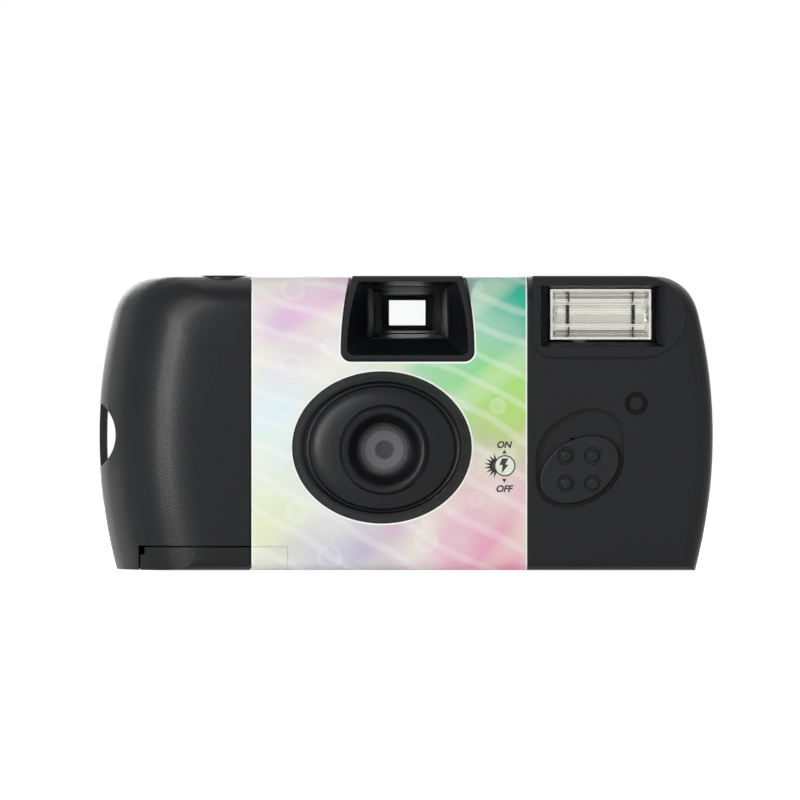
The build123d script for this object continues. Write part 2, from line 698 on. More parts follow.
def pad_outline(draw_in):
    """The flash panel's outline: a round right end, square at the top, one rounded lower corner."""
    middle_z = (PAD_BOTTOM_Z + BODY_HEIGHT) / 2
    end_radius = (BODY_HEIGHT - PAD_BOTTOM_Z) / 2
    end_x = PAD_RIGHT_X - end_radius
    width = end_x - PAD_LEFT_X
    bar = Pos((end_x + PAD_LEFT_X) / 2, middle_z) * Rectangle(width, 2 * end_radius)
    corners = [v for v in bar.vertices() if v.X < end_x and v.Y < middle_z]
    panel = fillet(corners, PAD_CORNER) + Pos(end_x, middle_z) * Circle(end_radius)
    return offset(panel, -draw_in) if draw_in > 0 else panel


def flash_pad():
    """The flat panel that stands proud round the flash window."""
    outline = front_plane(HOOD_REAR_Y) * pad_outline(0.0)
    pad = extrude(outline, HOOD_REAR_Y - PAD_Y)
    front_edges = [e for e in pad.edges() if e.center().Y < PAD_Y + PAD_EDGE_CHAMFER / 2]
    return chamfer(front_edges, PAD_EDGE_CHAMFER)


def flash_rectangle(left_x, right_x, bottom_z, top_z, y):
    """A rectangle at one depth, from its four sides."""
    place = front_plane(y) * Pos((left_x + right_x) / 2, (bottom_z + top_z) / 2)
    return place * Rectangle(right_x - left_x, top_z - bottom_z)


def flash_recess():
    """The mitred recess in front of the flash window and the opening behind it."""
    wide = flash_rectangle(FLASH_LEFT_X, FLASH_RIGHT_X, FLASH_BOTTOM_Z, FLASH_TOP_Z, PAD_Y)
    narrow = flash_rectangle(
        FLASH_INNER_LEFT_X, FLASH_INNER_RIGHT_X, FLASH_INNER_BOTTOM_Z, FLASH_INNER_TOP_Z, FLASH_FLOOR_Y
    )
    opening = block(
        FLASH_INNER_LEFT_X, FLASH_INNER_RIGHT_X, FLASH_FLOOR_Y, PARTING_Y,
        FLASH_INNER_BOTTOM_Z, FLASH_INNER_TOP_Z,
    )
    return loft([wide, narrow], ruled=True) + opening


def tilted_oval(half_length, half_width, x, z):
    """The switch's slanted oval in the front plane."""
    return Pos(x, z) * Rot(0, 0, POCKET_TILT) * Ellipse(half_length, half_width)


def pocket_outline(grow):
    """The switch pocket: the slanted oval at both ends of its travel, joined."""
    a, b = POCKET_HALF_LENGTH + grow, POCKET_HALF_WIDTH + grow
    tilt = math.radians(POCKET_TILT)
    reach_x = math.sqrt((a * math.cos(tilt)) ** 2 + (b * math.sin(tilt)) ** 2)
    reach_z = (a * a - b * b) * math.sin(tilt) * math.cos(tilt) / reach_x
    top_z = SWITCH_Z + POCKET_TRAVEL
    between = make_face(Polyline(
        (POCKET_X - reach_x, SWITCH_Z - reach_z),
        (POCKET_X + reach_x, SWITCH_Z + reach_z),
        (POCKET_X + reach_x, top_z + reach_z),
        (POCKET_X - reach_x, top_z - reach_z),
        close=True,
    ))
    return tilted_oval(a, b, POCKET_X, SWITCH_Z) + tilted_oval(a, b, POCKET_X, top_z) + between


def switch_pocket():
    """The cut for the switch pocket."""
    outline = front_plane(POCKET_FLOOR_Y) * pocket_outline(0.0)
    return extrude(outline, POCKET_DEPTH + OVERRUN)


def pocket_floor():
    """The wall behind and round the switch pocket."""
    outline = front_plane(POCKET_FLOOR_Y + POCKET_FLOOR) * pocket_outline(POCKET_FLOOR)
    return extrude(outline, POCKET_FLOOR + POCKET_FLOOR_Y - FRONT_Y - WALL / 2)


def stem_slot():
    """The slot in which the switch's stem slides."""
    half = SWITCH_STEM_WIDTH / 2 + MOVING_GAP
    top_z = SWITCH_Z + POCKET_TRAVEL + half
    return block(POCKET_X - half, POCKET_X + half, FRONT_Y, BOARD_FRONT_Y, SWITCH_Z - half, top_z)


def lug_notch(grow):
    """The round notch in the left side, behind the strap bar; it runs through from front to rear."""
    centre_x = -BODY_WIDTH / 2 + LUG_NOTCH_DEPTH - LUG_NOTCH_RADIUS
    return rod_y(centre_x, LUG_Z, LUG_NOTCH_RADIUS + grow, FRONT_Y - OVERRUN, REAR_Y + OVERRUN)


def lug_bar():
    """The strap bar that bridges the notch."""
    outer = rear_half(0.0) - rear_half(LUG_BAR_THICKNESS)
    height = LUG_NOTCH_RADIUS + WALL
    slot = block(-BODY_WIDTH, 0, LUG_BAR_FRONT_Y, LUG_BAR_REAR_Y, LUG_Z - height, LUG_Z + height)
    return outer & slot


def door_space():
    """The room that the cartridge door takes out of the two covers."""
    left_x, right_x = DOOR_LEFT_X - DOOR_GAP, DOOR_RIGHT_X + DOOR_GAP
    rear_y = DOOR_HINGE_Y + DOOR_HINGE_RADIUS + DOOR_GAP
    flap = block(left_x, right_x, FRONT_Y - OVERRUN, CARTRIDGE_Y, -OVERRUN, DOOR_FLAP_Z + DOOR_GAP)
    return flap + block(left_x, right_x, FRONT_Y, rear_y, -OVERRUN, WALL + DOOR_GAP)


def cartridge_room():
    """The space that the cartridge, the wheel and the roll keep clear inside the covers."""
    top = WHEEL_TOP_Z + MOVING_GAP
    room = rod_z(CARTRIDGE_X, CARTRIDGE_Y, CARTRIDGE_RADIUS + MOVING_GAP, 0, WHEEL_BOTTOM_Z)
    return room + rod_z(CARTRIDGE_X, CARTRIDGE_Y, WHEEL_RADIUS + MOVING_GAP, WHEEL_BOTTOM_Z - MOVING_GAP, top)


def port_solids():
    """The wall and the inner boss of the small round hole beside the switch."""
    floor_y = FRONT_Y + PORT_DEPTH
    wall = rod_y(PORT_X, PORT_Z, PORT_RADIUS + PORT_WALL, FRONT_Y + WALL / 2, floor_y + PORT_WALL)
    hole = rod_y(PORT_X, PORT_Z, PORT_RADIUS, FRONT_Y - OVERRUN, floor_y)
    boss = rod_y(PORT_X, PORT_Z, PORT_BOSS_RADIUS, floor_y - PORT_DEPTH / 2, floor_y + PORT_WALL)
    return wall, hole, boss


def top_openings():
    """The holes in the top of the front cover: button, counter window and light guide."""
    top_z = BODY_HEIGHT + OVERRUN
    low_z = FINDER_TOP_Z - OVERRUN
    button = rod_z(BUTTON_X, BUTTON_Y, BUTTON_RADIUS + MOVING_GAP / 2, low_z, top_z)
    window = rod_z(COUNTER_X, COUNTER_WINDOW_Y, COUNTER_WINDOW_RADIUS + SEAT_GAP, low_z, top_z)
    half = GUIDE_WIDTH / 2 + MOVING_GAP / 2
    guide_y = SWITCH_STEM_REAR_Y + GUIDE_WIDTH / 2
    guide = block(POCKET_X - half, POCKET_X + half, guide_y - half, guide_y + half, low_z, top_z)
    return button + window + guide


def wheel_boss():
    """The bearing in the front cover's roof for the winding wheel's pin."""
    roof_z = BODY_HEIGHT - WALL / 2
    low_z = WHEEL_TOP_Z + 2 * MOVING_GAP
    wall = 2 * RUNNING_FIT + CONE_WALL
    boss = rod_z(CARTRIDGE_X, CARTRIDGE_Y, WHEEL_PIN_RADIUS + wall, low_z, roof_z)
    return boss - rod_z(CARTRIDGE_X, CARTRIDGE_Y, WHEEL_PIN_RADIUS + RUNNING_FIT, low_z, BODY_HEIGHT - WALL)


def lug_wall():
    """The wall that closes the covers behind the strap notch."""
    return lug_notch(WALL) - lug_notch(0.0)


def front_cover():
    """The front shell: grip, lens surround and hood, viewfinder hood, flash panel and switch pocket."""
    outer = recessed_for_label(front_half(0.0), front_of)
    inner = front_half(WALL)
    port_wall, port_hole, port_boss = port_solids()
    cover = (outer - inner) + (lug_wall() & outer)
    cover += front_of(surround_solid()) + finder_hood() + flash_pad()
    cover = cover - surround_hollow() - lens_bore() - (cartridge_room() & inner)
    cover += lens_hood() + pocket_floor() + port_wall + wheel_boss()
    cover = cover - finder_funnel() - flash_recess() - switch_pocket() - stem_slot() - port_hole
    cover = cover - lug_notch(0.0) - door_space() - top_openings()
    return cover + port_boss


def thumb_scoop(grow):
    """The hollow at the rear top edge where the thumb reaches the winding wheel."""
    left_x, right_x = SCOOP_LEFT_X - grow, SCOOP_RIGHT_X + grow
    floor_y = REAR_Y - SCOOP_DEPTH - grow
    outline = make_face(Polyline(
        (REAR_Y + OVERRUN, SCOOP_BOTTOM_Z - grow),
        (REAR_Y, SCOOP_BOTTOM_Z - grow),
        (floor_y, SCOOP_BOTTOM_Z + SCOOP_SLOPE - grow),
        (floor_y, BODY_HEIGHT + OVERRUN),
        (REAR_Y + OVERRUN, BODY_HEIGHT + OVERRUN),
        close=True,
    ))
    return extrude(side_plane(left_x) * outline, right_x - left_x)


def wheel_slot():
    """The slot through which the winding wheel's rim stands out."""
    half_width = math.sqrt(WHEEL_RADIUS ** 2 - (REAR_Y - SCOOP_DEPTH - CARTRIDGE_Y) ** 2) + 2 * MOVING_GAP
    return block(
        CARTRIDGE_X - half_width, CARTRIDGE_X + half_width, REAR_Y - 2 * SCOOP_DEPTH, REAR_Y + OVERRUN,
        WHEEL_BOTTOM_Z - MOVING_GAP, WHEEL_TOP_Z + MOVING_GAP,
    )


def eyepiece_opening(grow):
    """The opening in the rear cover and in the label for the eyepiece."""
    x = (FINDER_LEFT_X + FINDER_RIGHT_X) / 2
    z = (FINDER_SIGHT_BOTTOM_Z + FINDER_SIGHT_TOP_Z) / 2
    half_width, half_height = EYEPIECE_WIDTH / 2 + grow, EYEPIECE_HEIGHT / 2 + grow
    opening = block(x - half_width, x + half_width, PARTING_Y, REAR_Y + OVERRUN, z - half_height, z + half_height)
    long_edges = opening.edges().filter_by(Axis.Y)
    return fillet(long_edges, PANE_CORNER + grow / 2)


def rear_cover():
    """The rear shell: back wall, strap bar, thumb scoop, wheel slot and eyepiece opening."""
    outer = recessed_for_label(rear_half(0.0), rear_of)
    inner = rear_half(WALL)
    cover = (outer - inner) + (lug_wall() & outer)
    cover += thumb_scoop(WALL - SEAT_GAP) & outer
    cover = cover - thumb_scoop(0.0) - wheel_slot() - (cartridge_room() & inner)
    cover = cover - lug_notch(0.0) - door_space() - eyepiece_opening(0.0)
    return cover + lug_bar()


def label_wrap():
    """The printed band round the middle, with its cut-outs."""
    left_x, right_x = LABEL_LEFT_X, LABEL_RIGHT_X
    band = band_solid(0.0, left_x, right_x) - band_solid(LABEL_THICKNESS, left_x - OVERRUN, right_x + OVERRUN)
    gap = LABEL_CUT_GAP
    oval = front_plane(0) * Pos(SURROUND_X, SURROUND_Z) * Ellipse(
        SURROUND_HALF_WIDTH + gap, SURROUND_HALF_HEIGHT + gap
    )
    band -= extrude(oval, BODY_WIDTH)
    hood = offset(hood_outline(0.0, BODY_HEIGHT + OVERRUN), gap)
    band -= extrude(front_plane(HOOD_REAR_Y) * hood, BODY_WIDTH)
    band -= eyepiece_opening(gap)
    band -= rod_z(COUNTER_X, COUNTER_WINDOW_Y, COUNTER_WINDOW_RADIUS + gap, FINDER_TOP_Z, BODY_HEIGHT + OVERRUN)
    return band - flap_region(DOOR_GAP)


def flap_region(grow):
    """The corner of the label that goes with the cartridge door."""
    rear_y = DOOR_HINGE_Y - DOOR_HINGE_RADIUS
    if grow > 0:
        rear_y = DOOR_HINGE_Y + DOOR_HINGE_RADIUS
    right_x = DOOR_RIGHT_X + grow / 2
    front = block(LABEL_LEFT_X - OVERRUN, right_x, FRONT_Y - OVERRUN, CARTRIDGE_Y, -OVERRUN, DOOR_FLAP_Z + grow / 2)
    return front + block(LABEL_LEFT_X - OVERRUN, right_x, FRONT_Y, rear_y + grow, -OVERRUN, DOOR_FLAP_Z)


def label_flap():
    """The label's corner on the cartridge door, cut free along its perforation."""
    left_x, right_x = LABEL_LEFT_X, LABEL_RIGHT_X
    band = band_solid(0.0, left_x, right_x) - band_solid(LABEL_THICKNESS, left_x - OVERRUN, right_x + OVERRUN)
    return band & flap_region(0.0)


def cartridge_door():
    """The door under the cartridge: floor, front flap, side ribs and hinge bead."""
    outer = recessed_for_label(front_half(0.0), front_of) + recessed_for_label(rear_half(0.0), rear_of)
    inner = front_half(DOOR_WALL) + rear_half(DOOR_WALL)
    shell = outer - inner
    left_x, right_x = DOOR_LEFT_X, DOOR_RIGHT_X
    rear_y = DOOR_HINGE_Y - DOOR_HINGE_RADIUS
    flap = shell & block(left_x, right_x, FRONT_Y - OVERRUN, CARTRIDGE_Y, 0, DOOR_FLAP_Z)
    floor = shell & block(left_x, right_x, FRONT_Y, rear_y, 0, DOOR_WALL)
    door = flap + floor
    bead_right_x = LABEL_LEFT_X - LABEL_SIDE_GAP
    door += rod_x(left_x, bead_right_x, DOOR_HINGE_Y, DOOR_HINGE_RADIUS, DOOR_HINGE_RADIUS)
    door += block(left_x, bead_right_x, rear_y - DOOR_HINGE_RADIUS, DOOR_HINGE_Y, 0, DOOR_WALL)
    notch_z = DOOR_FLAP_Z - DOOR_NOTCH_HEIGHT
    notch_x = left_x + DOOR_FINGER_NOTCH
    return door - block(left_x - OVERRUN, notch_x, FRONT_Y - OVERRUN, 0, notch_z, DOOR_FLAP_Z + OVERRUN)


def framed_rectangle(width, height, x, z, y):
    """A rectangle about a middle point at one depth."""
    return front_plane(y) * Pos(x, z) * Rectangle(width, height)


def exposure_cone(grow):
    """The tapered light box from the shutter wall to the film gate, grown by a wall."""
    front_y = SHUTTER_WALL_Y + SHUTTER_WALL
    wide = framed_rectangle(GATE_WIDTH + 2 * grow, GATE_HEIGHT + 2 * grow, LENS_X, FILM_MID_Z, GATE_REAR_Y)
    narrow = framed_rectangle(
        CONE_FRONT_WIDTH + 2 * grow, CONE_FRONT_HEIGHT + 2 * grow, LENS_X, LENS_Z, front_y
    )
    return loft([wide, narrow], ruled=True)


def half_chamber(x, y, inner_radius, bottom_z, top_z):
    """A round chamber wall that is open at the rear."""
    tube = rod_z(x, y, inner_radius + CHAMBER_WALL, bottom_z, top_z)
    return tube & block(-BODY_WIDTH, BODY_WIDTH, -BODY_WIDTH, GATE_FRONT_Y, bottom_z, top_z)


def holder_posts():
    """The three posts on the shutter wall that carry the lens holder."""
    ring = HOLDER_FLANGE_RADIUS - HOLDER_POST_RADIUS
    posts = None
    for angle in (0, 60, -70):
        x = LENS_X + ring * math.cos(math.radians(angle))
        z = LENS_Z + ring * math.sin(math.radians(angle))
        post = rod_y(x, z, HOLDER_POST_RADIUS, HOLDER_REAR_Y, SHUTTER_WALL_Y)
        posts = post if posts is None else posts + post
    return posts


def battery_cradle():
    """The two floor saddles under the cell, with a wall behind each contact."""
    low_z = WALL + SEAT_GAP
    contact = CONTACT_THICKNESS + 2 * SEAT_GAP
    left_end = BATTERY_LEFT_X - contact
    right_end = BATTERY_RIGHT_X + BATTERY_NUB_LENGTH + contact
    front_y, rear_y = BATTERY_Y - BATTERY_RADIUS / 2, BATTERY_Y + BATTERY_RADIUS
    cradle = block(
        left_end - CRADLE_WALL, BATTERY_LEFT_X + CRADLE_REACH, front_y, rear_y, low_z, BATTERY_Z
    )
    cradle += block(
        BATTERY_RIGHT_X - CRADLE_REACH, right_end + CRADLE_WALL, front_y, rear_y, low_z, BATTERY_Z
    )
    rib = CRADLE_WALL + CRADLE_REACH
    cradle += block(left_end - CRADLE_WALL, left_end + rib, rear_y - OVERRUN, GATE_FRONT_Y, low_z, low_z + CRADLE_WALL)
    cradle += block(right_end - rib, right_end + CRADLE_WALL, rear_y - OVERRUN, GATE_FRONT_Y, low_z, low_z + CRADLE_WALL)
    return cradle - rod_x(left_end, right_end, BATTERY_Y, BATTERY_Z, BATTERY_RADIUS + SEAT_GAP)


def main_body():
    """The inner moulding: film gate, light box, both film chambers, shutter wall and deck."""
    chamber_radius = CARTRIDGE_RADIUS + CHAMBER_GAP
    roll_room = ROLL_RADIUS + CHAMBER_GAP
    roll_low, roll_high = FILM_BOTTOM_Z - ROLL_SPOOL_OVERHANG, FILM_TOP_Z + ROLL_SPOOL_OVERHANG
    body = block(GATE_LEFT_X, GATE_RIGHT_X, GATE_FRONT_Y, GATE_REAR_Y, WALL + SEAT_GAP, GATE_TOP_Z)
    for z in (FILM_BOTTOM_Z, FILM_TOP_Z - PERFORATION_EDGE / 2):
        rail_left, rail_right = LENS_X - GATE_WIDTH / 2, LENS_X + GATE_WIDTH / 2
        body += block(rail_left, rail_right, GATE_REAR_Y, FILM_Y, z, z + PERFORATION_EDGE / 2)
    body += exposure_cone(CONE_WALL)
    body += half_chamber(CARTRIDGE_X, CARTRIDGE_Y, chamber_radius, CHAMBER_BOTTOM_Z, CARTRIDGE_TOP_Z)
    roll_cap = CHAMBER_WALL + MOVING_GAP
    body += half_chamber(ROLL_X, ROLL_Y, roll_room, roll_low - roll_cap, roll_high + roll_cap)
    body += block(
        SHUTTER_WALL_LEFT_X, SHUTTER_WALL_RIGHT_X, SHUTTER_WALL_Y, SHUTTER_WALL_Y + SHUTTER_WALL,
        SHUTTER_WALL_BOTTOM_Z, SHUTTER_WALL_TOP_Z,
    )
    body += block(
        SHUTTER_WALL_LEFT_X, DECK_RIGHT_X, SHUTTER_WALL_Y, SHUTTER_WALL_Y + SHUTTER_WALL,
        SHUTTER_WALL_TOP_Z, DECK_TOP_Z,
    )
    body += block(DECK_LEFT_X, DECK_RIGHT_X, DECK_FRONT_Y, GATE_REAR_Y, DECK_BOTTOM_Z, DECK_TOP_Z)
    body += block(GATE_LEFT_X, DECK_RIGHT_X, GATE_FRONT_Y, GATE_REAR_Y, GATE_TOP_Z, DECK_TOP_Z)
    half_bracket = BUTTON_BRACKET_WIDTH / 2
    body += block(
        BUTTON_SPRING_X - half_bracket, DECK_LEFT_X + OVERRUN, BUTTON_ARM_Y - BUTTON_ARM_WIDTH,
        BUTTON_ARM_Y + BUTTON_ARM_WIDTH, DECK_BOTTOM_Z, DECK_TOP_Z,
    )
    body += holder_posts()
    body += battery_cradle()
    body += rod_z(COUNTER_X, COUNTER_Y, COUNTER_POST_RADIUS, DECK_BOTTOM_Z, FINGER_BOTTOM_Z + COUNTER_THICKNESS)
    body += rod_z(COUNTER_X, COUNTER_Y, COUNTER_SEAT_RADIUS, DECK_BOTTOM_Z, COUNTER_BOTTOM_Z - SEAT_GAP)
    drive_top = CAM_BOTTOM_Z + DRIVE_THICKNESS + PIVOT_SPRING_TURNS * SPRING_PITCH
    body += rod_z(DRIVE_PIVOT_X, DRIVE_PIVOT_Y, DRIVE_PIN_RADIUS, DECK_BOTTOM_Z, drive_top)
    pawl_top = CAM_BOTTOM_Z + 2 * MOVING_GAP + PAWL_THICKNESS
    body += rod_z(PAWL_PIVOT_X, PAWL_PIVOT_Y, PAWL_PIN_RADIUS, DECK_BOTTOM_Z, pawl_top)
    pin_front_y = SHUTTER_WALL_Y - MOVING_GAP - RELEASE_THICKNESS - PIVOT_SPRING_TURNS * SPRING_PITCH / 2
    body += rod_y(RELEASE_PIVOT_X, RELEASE_PIVOT_Z, RELEASE_PIN_RADIUS, pin_front_y, SHUTTER_WALL_Y)
    body += rod_y(BLADE_PIVOT_X, BLADE_PIVOT_Z, BLADE_PIN_RADIUS, pin_front_y, SHUTTER_WALL_Y)
    body -= exposure_cone(0.0)
    body -= rod_y(LENS_X, LENS_Z, STOP_RADIUS + SHUTTER_WALL, SHUTTER_WALL_Y - OVERRUN, 0)
    body -= rod_z(CARTRIDGE_X, CARTRIDGE_Y, chamber_radius, 0, WHEEL_TOP_Z)
    body -= rod_z(ROLL_X, ROLL_Y, roll_room, roll_low - MOVING_GAP, roll_high + MOVING_GAP)
    body -= rod_z(ROLL_X, ROLL_Y, ROLL_SPOOL_PIN + RUNNING_FIT, 0, BODY_HEIGHT)
    pocket = SPROCKET_RADIUS + SPROCKET_TOOTH_HEIGHT + SPROCKET_POCKET_GAP
    half_pocket = SPROCKET_THICKNESS / 2 + SPROCKET_POCKET_GAP
    body -= rod_z(SPROCKET_X, SPROCKET_Y, pocket, SPROCKET_MID_Z - half_pocket, SPROCKET_MID_Z + half_pocket)
    return body - rod_z(SPROCKET_X, SPROCKET_Y, SPROCKET_SHAFT_RADIUS + RUNNING_FIT, SPROCKET_MID_Z, BODY_HEIGHT)


def lens_holder():
    """The ring that holds the lens, with the fixed stop behind it and a flange on three posts."""
    front_y = FUNNEL_REAR_Y + FUNNEL_LIP + SEAT_GAP
    lens_back_y = LENS_FRONT_Y + LENS_FRONT_CROWN + LENS_EDGE
    stop_y = lens_back_y + LENS_REAR_CROWN + SEAT_GAP
    stop_back_y = stop_y + STOP_THICKNESS
    flange_y = HOLDER_REAR_Y - HOLDER_FLANGE
    return lens_turned([
        (HOLDER_RADIUS, front_y),
        (LENS_RADIUS + SEAT_GAP, front_y),
        (LENS_RADIUS + SEAT_GAP, lens_back_y + SEAT_GAP),
        (LENS_SEAT_RADIUS, lens_back_y + SEAT_GAP),
        (LENS_SEAT_RADIUS, stop_y),
        (STOP_RADIUS, stop_y),
        (STOP_RADIUS, stop_back_y),
        (STOP_STEP_RADIUS, HOLDER_REAR_Y),
        (HOLDER_FLANGE_RADIUS, HOLDER_REAR_Y),
        (HOLDER_FLANGE_RADIUS, flange_y),
        (HOLDER_RADIUS, flange_y),
    ])


def crown_ball(crown, tip_y, towards):
    """The ball whose cap is one crowned face of the lens; towards is 1 when the lens lies behind the tip."""
    radius = (LENS_RADIUS ** 2 + crown ** 2) / (2 * crown)
    return Pos(LENS_X, tip_y + towards * radius, LENS_Z) * Sphere(radius)


def taking_lens():
    """The single moulded taking lens, crowned on both sides."""
    rear_y = LENS_FRONT_Y + LENS_FRONT_CROWN + LENS_EDGE + LENS_REAR_CROWN
    lens = rod_y(LENS_X, LENS_Z, LENS_RADIUS, LENS_FRONT_Y, rear_y)
    lens &= crown_ball(LENS_FRONT_CROWN, LENS_FRONT_Y, 1)
    return lens & crown_ball(LENS_REAR_CROWN, rear_y, -1)


def coil_spring(place, radius, pitch, turns):
    """A round-wire coil that stands on a plane."""
    path = Helix(pitch, pitch * turns, radius)
    start = Plane(origin=path @ 0, z_dir=path % 0)
    return place * sweep(start * Circle(SPRING_WIRE_RADIUS), path)


def shutter_blade():
    """The thin blade that closes the stop: disc, arm, hub and striking ear."""
    reach_x, reach_z = LENS_X - BLADE_PIVOT_X, LENS_Z - BLADE_PIVOT_Z
    length = math.hypot(reach_x, reach_z)
    angle = math.degrees(math.atan2(reach_z, reach_x))
    arm = Pos(BLADE_PIVOT_X, BLADE_PIVOT_Z) * Rot(0, 0, angle) * Pos(length / 2, 0) * Rectangle(length, BLADE_ARM_WIDTH)
    ear_left_x = DRIVE_PIVOT_X + DRIVE_FINGER_WIDTH / 2 + MOVING_GAP
    ear = Pos(ear_left_x + BLADE_EAR_WIDTH / 2, BLADE_PIVOT_Z + BLADE_EAR_HEIGHT / 2)
    outline = arm + Pos(LENS_X, LENS_Z) * Circle(BLADE_DISC_RADIUS)
    outline += Pos(BLADE_PIVOT_X, BLADE_PIVOT_Z) * Circle(BLADE_HUB_RADIUS)
    outline += ear * Rectangle(BLADE_EAR_WIDTH, BLADE_EAR_HEIGHT)
    link_width = BLADE_PIVOT_X - ear_left_x
    link = Pos(ear_left_x + link_width / 2, BLADE_PIVOT_Z + BLADE_ARM_WIDTH / 2)
    outline += link * Rectangle(link_width, BLADE_ARM_WIDTH)
    outline -= Pos(BLADE_PIVOT_X, BLADE_PIVOT_Z) * Circle(BLADE_PIN_RADIUS + RUNNING_FIT)
    rear_y = BLADE_Y + BLADE_THICKNESS / 2
    return extrude(front_plane(rear_y) * outline, BLADE_THICKNESS)


def blade_spring():
    """The small coil round the blade's pin."""
    top_y = BLADE_Y - BLADE_THICKNESS / 2 - SPRING_WIRE_RADIUS - SEAT_GAP
    place = Pos(BLADE_PIVOT_X, top_y, BLADE_PIVOT_Z) * Rot(90, 0, 0)
    radius = BLADE_PIN_RADIUS + SPRING_WIRE_RADIUS + SEAT_GAP
    return coil_spring(place, radius, SPRING_PITCH, PIVOT_SPRING_TURNS - 1)


def release_lever():
    """The rocking lever under the button's leg."""
    rear_y = LAYER_Y
    front_y = rear_y - RELEASE_THICKNESS
    arm_top_z = BUTTON_LEG_BOTTOM_Z - 2 * SEAT_GAP
    arm_end_x = BUTTON_LEG_X + BUTTON_LEG_WIDTH / 2
    lever = rod_y(RELEASE_PIVOT_X, RELEASE_PIVOT_Z, RELEASE_HUB_RADIUS, front_y, rear_y)
    lever += block(RELEASE_PIVOT_X, arm_end_x, front_y, rear_y, arm_top_z - RELEASE_ARM_WIDTH, arm_top_z)
    half = RELEASE_ARM_WIDTH / 2
    tail_z = RELEASE_PIVOT_Z - RELEASE_TAIL_LENGTH
    lever += block(RELEASE_PIVOT_X - half, RELEASE_PIVOT_X + half, front_y, rear_y, tail_z, RELEASE_PIVOT_Z)
    return lever - rod_y(RELEASE_PIVOT_X, RELEASE_PIVOT_Z, RELEASE_PIN_RADIUS + RUNNING_FIT, front_y - OVERRUN, 0)


def release_spring():
    """The small coil round the release lever's pin."""
    top_y = LAYER_Y - RELEASE_THICKNESS - SPRING_WIRE_RADIUS - SEAT_GAP
    place = Pos(RELEASE_PIVOT_X, top_y, RELEASE_PIVOT_Z) * Rot(90, 0, 0)
    radius = RELEASE_PIN_RADIUS + SPRING_WIRE_RADIUS + SEAT_GAP
    return coil_spring(place, radius, SPRING_PITCH, PIVOT_SPRING_TURNS - 2)


def drive_lever():
    """The lever that the cam winds and that strikes the blade's ear."""
    low_z, high_z = CAM_BOTTOM_Z, CAM_BOTTOM_Z + DRIVE_THICKNESS
    half_arm, half_finger = DRIVE_ARM_WIDTH / 2, DRIVE_FINGER_WIDTH / 2
    finger_back_y = LAYER_Y - RELEASE_THICKNESS - MOVING_GAP / 2
    finger_front_y = finger_back_y - DRIVE_FINGER_WIDTH
    x, y = DRIVE_PIVOT_X, DRIVE_PIVOT_Y
    lever = rod_z(x, y, DRIVE_HUB_RADIUS, low_z, high_z)
    lever += block(x - half_arm, x + half_arm, finger_front_y, y, low_z, high_z)
    lever += block(
        x - half_finger, x + half_finger, finger_front_y, finger_back_y, DRIVE_FINGER_BOTTOM_Z, high_z
    )
    lever += block(
        x - half_finger, x + half_finger, finger_front_y, BLADE_Y + BLADE_THICKNESS,
        DRIVE_FINGER_BOTTOM_Z, DRIVE_FINGER_BOTTOM_Z + DRIVE_TIP_HEIGHT,
    )
    reach = math.hypot(DRIVE_TAIL_X - x, DRIVE_TAIL_Y - y)
    angle = math.degrees(math.atan2(DRIVE_TAIL_Y - y, DRIVE_TAIL_X - x))
    tail = Pos(x, y, low_z) * Rot(0, 0, angle) * Pos(reach / 2, 0, DRIVE_THICKNESS / 2)
    lever += tail * Box(reach, DRIVE_ARM_WIDTH, DRIVE_THICKNESS)
    return lever - rod_z(x, y, DRIVE_PIN_RADIUS + RUNNING_FIT, low_z - OVERRUN, high_z + OVERRUN)


def drive_spring():
    """The coil round the drive lever's pin."""
    low_z = CAM_BOTTOM_Z + DRIVE_THICKNESS + SPRING_WIRE_RADIUS + SEAT_GAP
    radius = DRIVE_PIN_RADIUS + SPRING_WIRE_RADIUS + SEAT_GAP
    return coil_spring(Pos(DRIVE_PIVOT_X, DRIVE_PIVOT_Y, low_z), radius, SPRING_PITCH, PIVOT_SPRING_TURNS - 1)


def shutter_button():
    """The button with its dished top, its arm over the wheel and its leg to the release lever."""
    top_z = BODY_HEIGHT + BUTTON_PROUD
    arm_top_z = BUTTON_ARM_BOTTOM_Z + BUTTON_ARM_THICKNESS
    button = rod_z(BUTTON_X, BUTTON_Y, BUTTON_RADIUS, BUTTON_ARM_BOTTOM_Z, top_z)
    button = fillet(button.edges().group_by(Axis.Z)[-1], BUTTON_DISH_DEPTH)
    dish_radius = (BUTTON_RADIUS ** 2 + BUTTON_DISH_DEPTH ** 2) / (2 * BUTTON_DISH_DEPTH)
    button -= Pos(BUTTON_X, BUTTON_Y, top_z + dish_radius - BUTTON_DISH_DEPTH) * Sphere(dish_radius)
    half_arm, half_leg = BUTTON_ARM_WIDTH / 2, BUTTON_LEG_WIDTH / 2
    leg_back_y = LAYER_Y
    leg_front_y = LAYER_Y - BUTTON_ARM_THICKNESS
    button += block(
        BUTTON_X, BUTTON_LEG_X + half_leg, BUTTON_ARM_Y - half_arm, BUTTON_ARM_Y + half_arm,
        BUTTON_ARM_BOTTOM_Z, arm_top_z,
    )
    foot_z = BUTTON_LEG_BOTTOM_Z + BUTTON_LEG_WIDTH
    button += block(BUTTON_LEG_X - half_leg, BUTTON_LEG_X + half_leg, leg_front_y, leg_back_y, foot_z, arm_top_z)
    half_foot = RELEASE_FOOT_WIDTH / 2
    return button + block(
        BUTTON_LEG_X - half_foot, BUTTON_LEG_X + half_foot, leg_front_y, leg_back_y, BUTTON_LEG_BOTTOM_Z, foot_z
    )


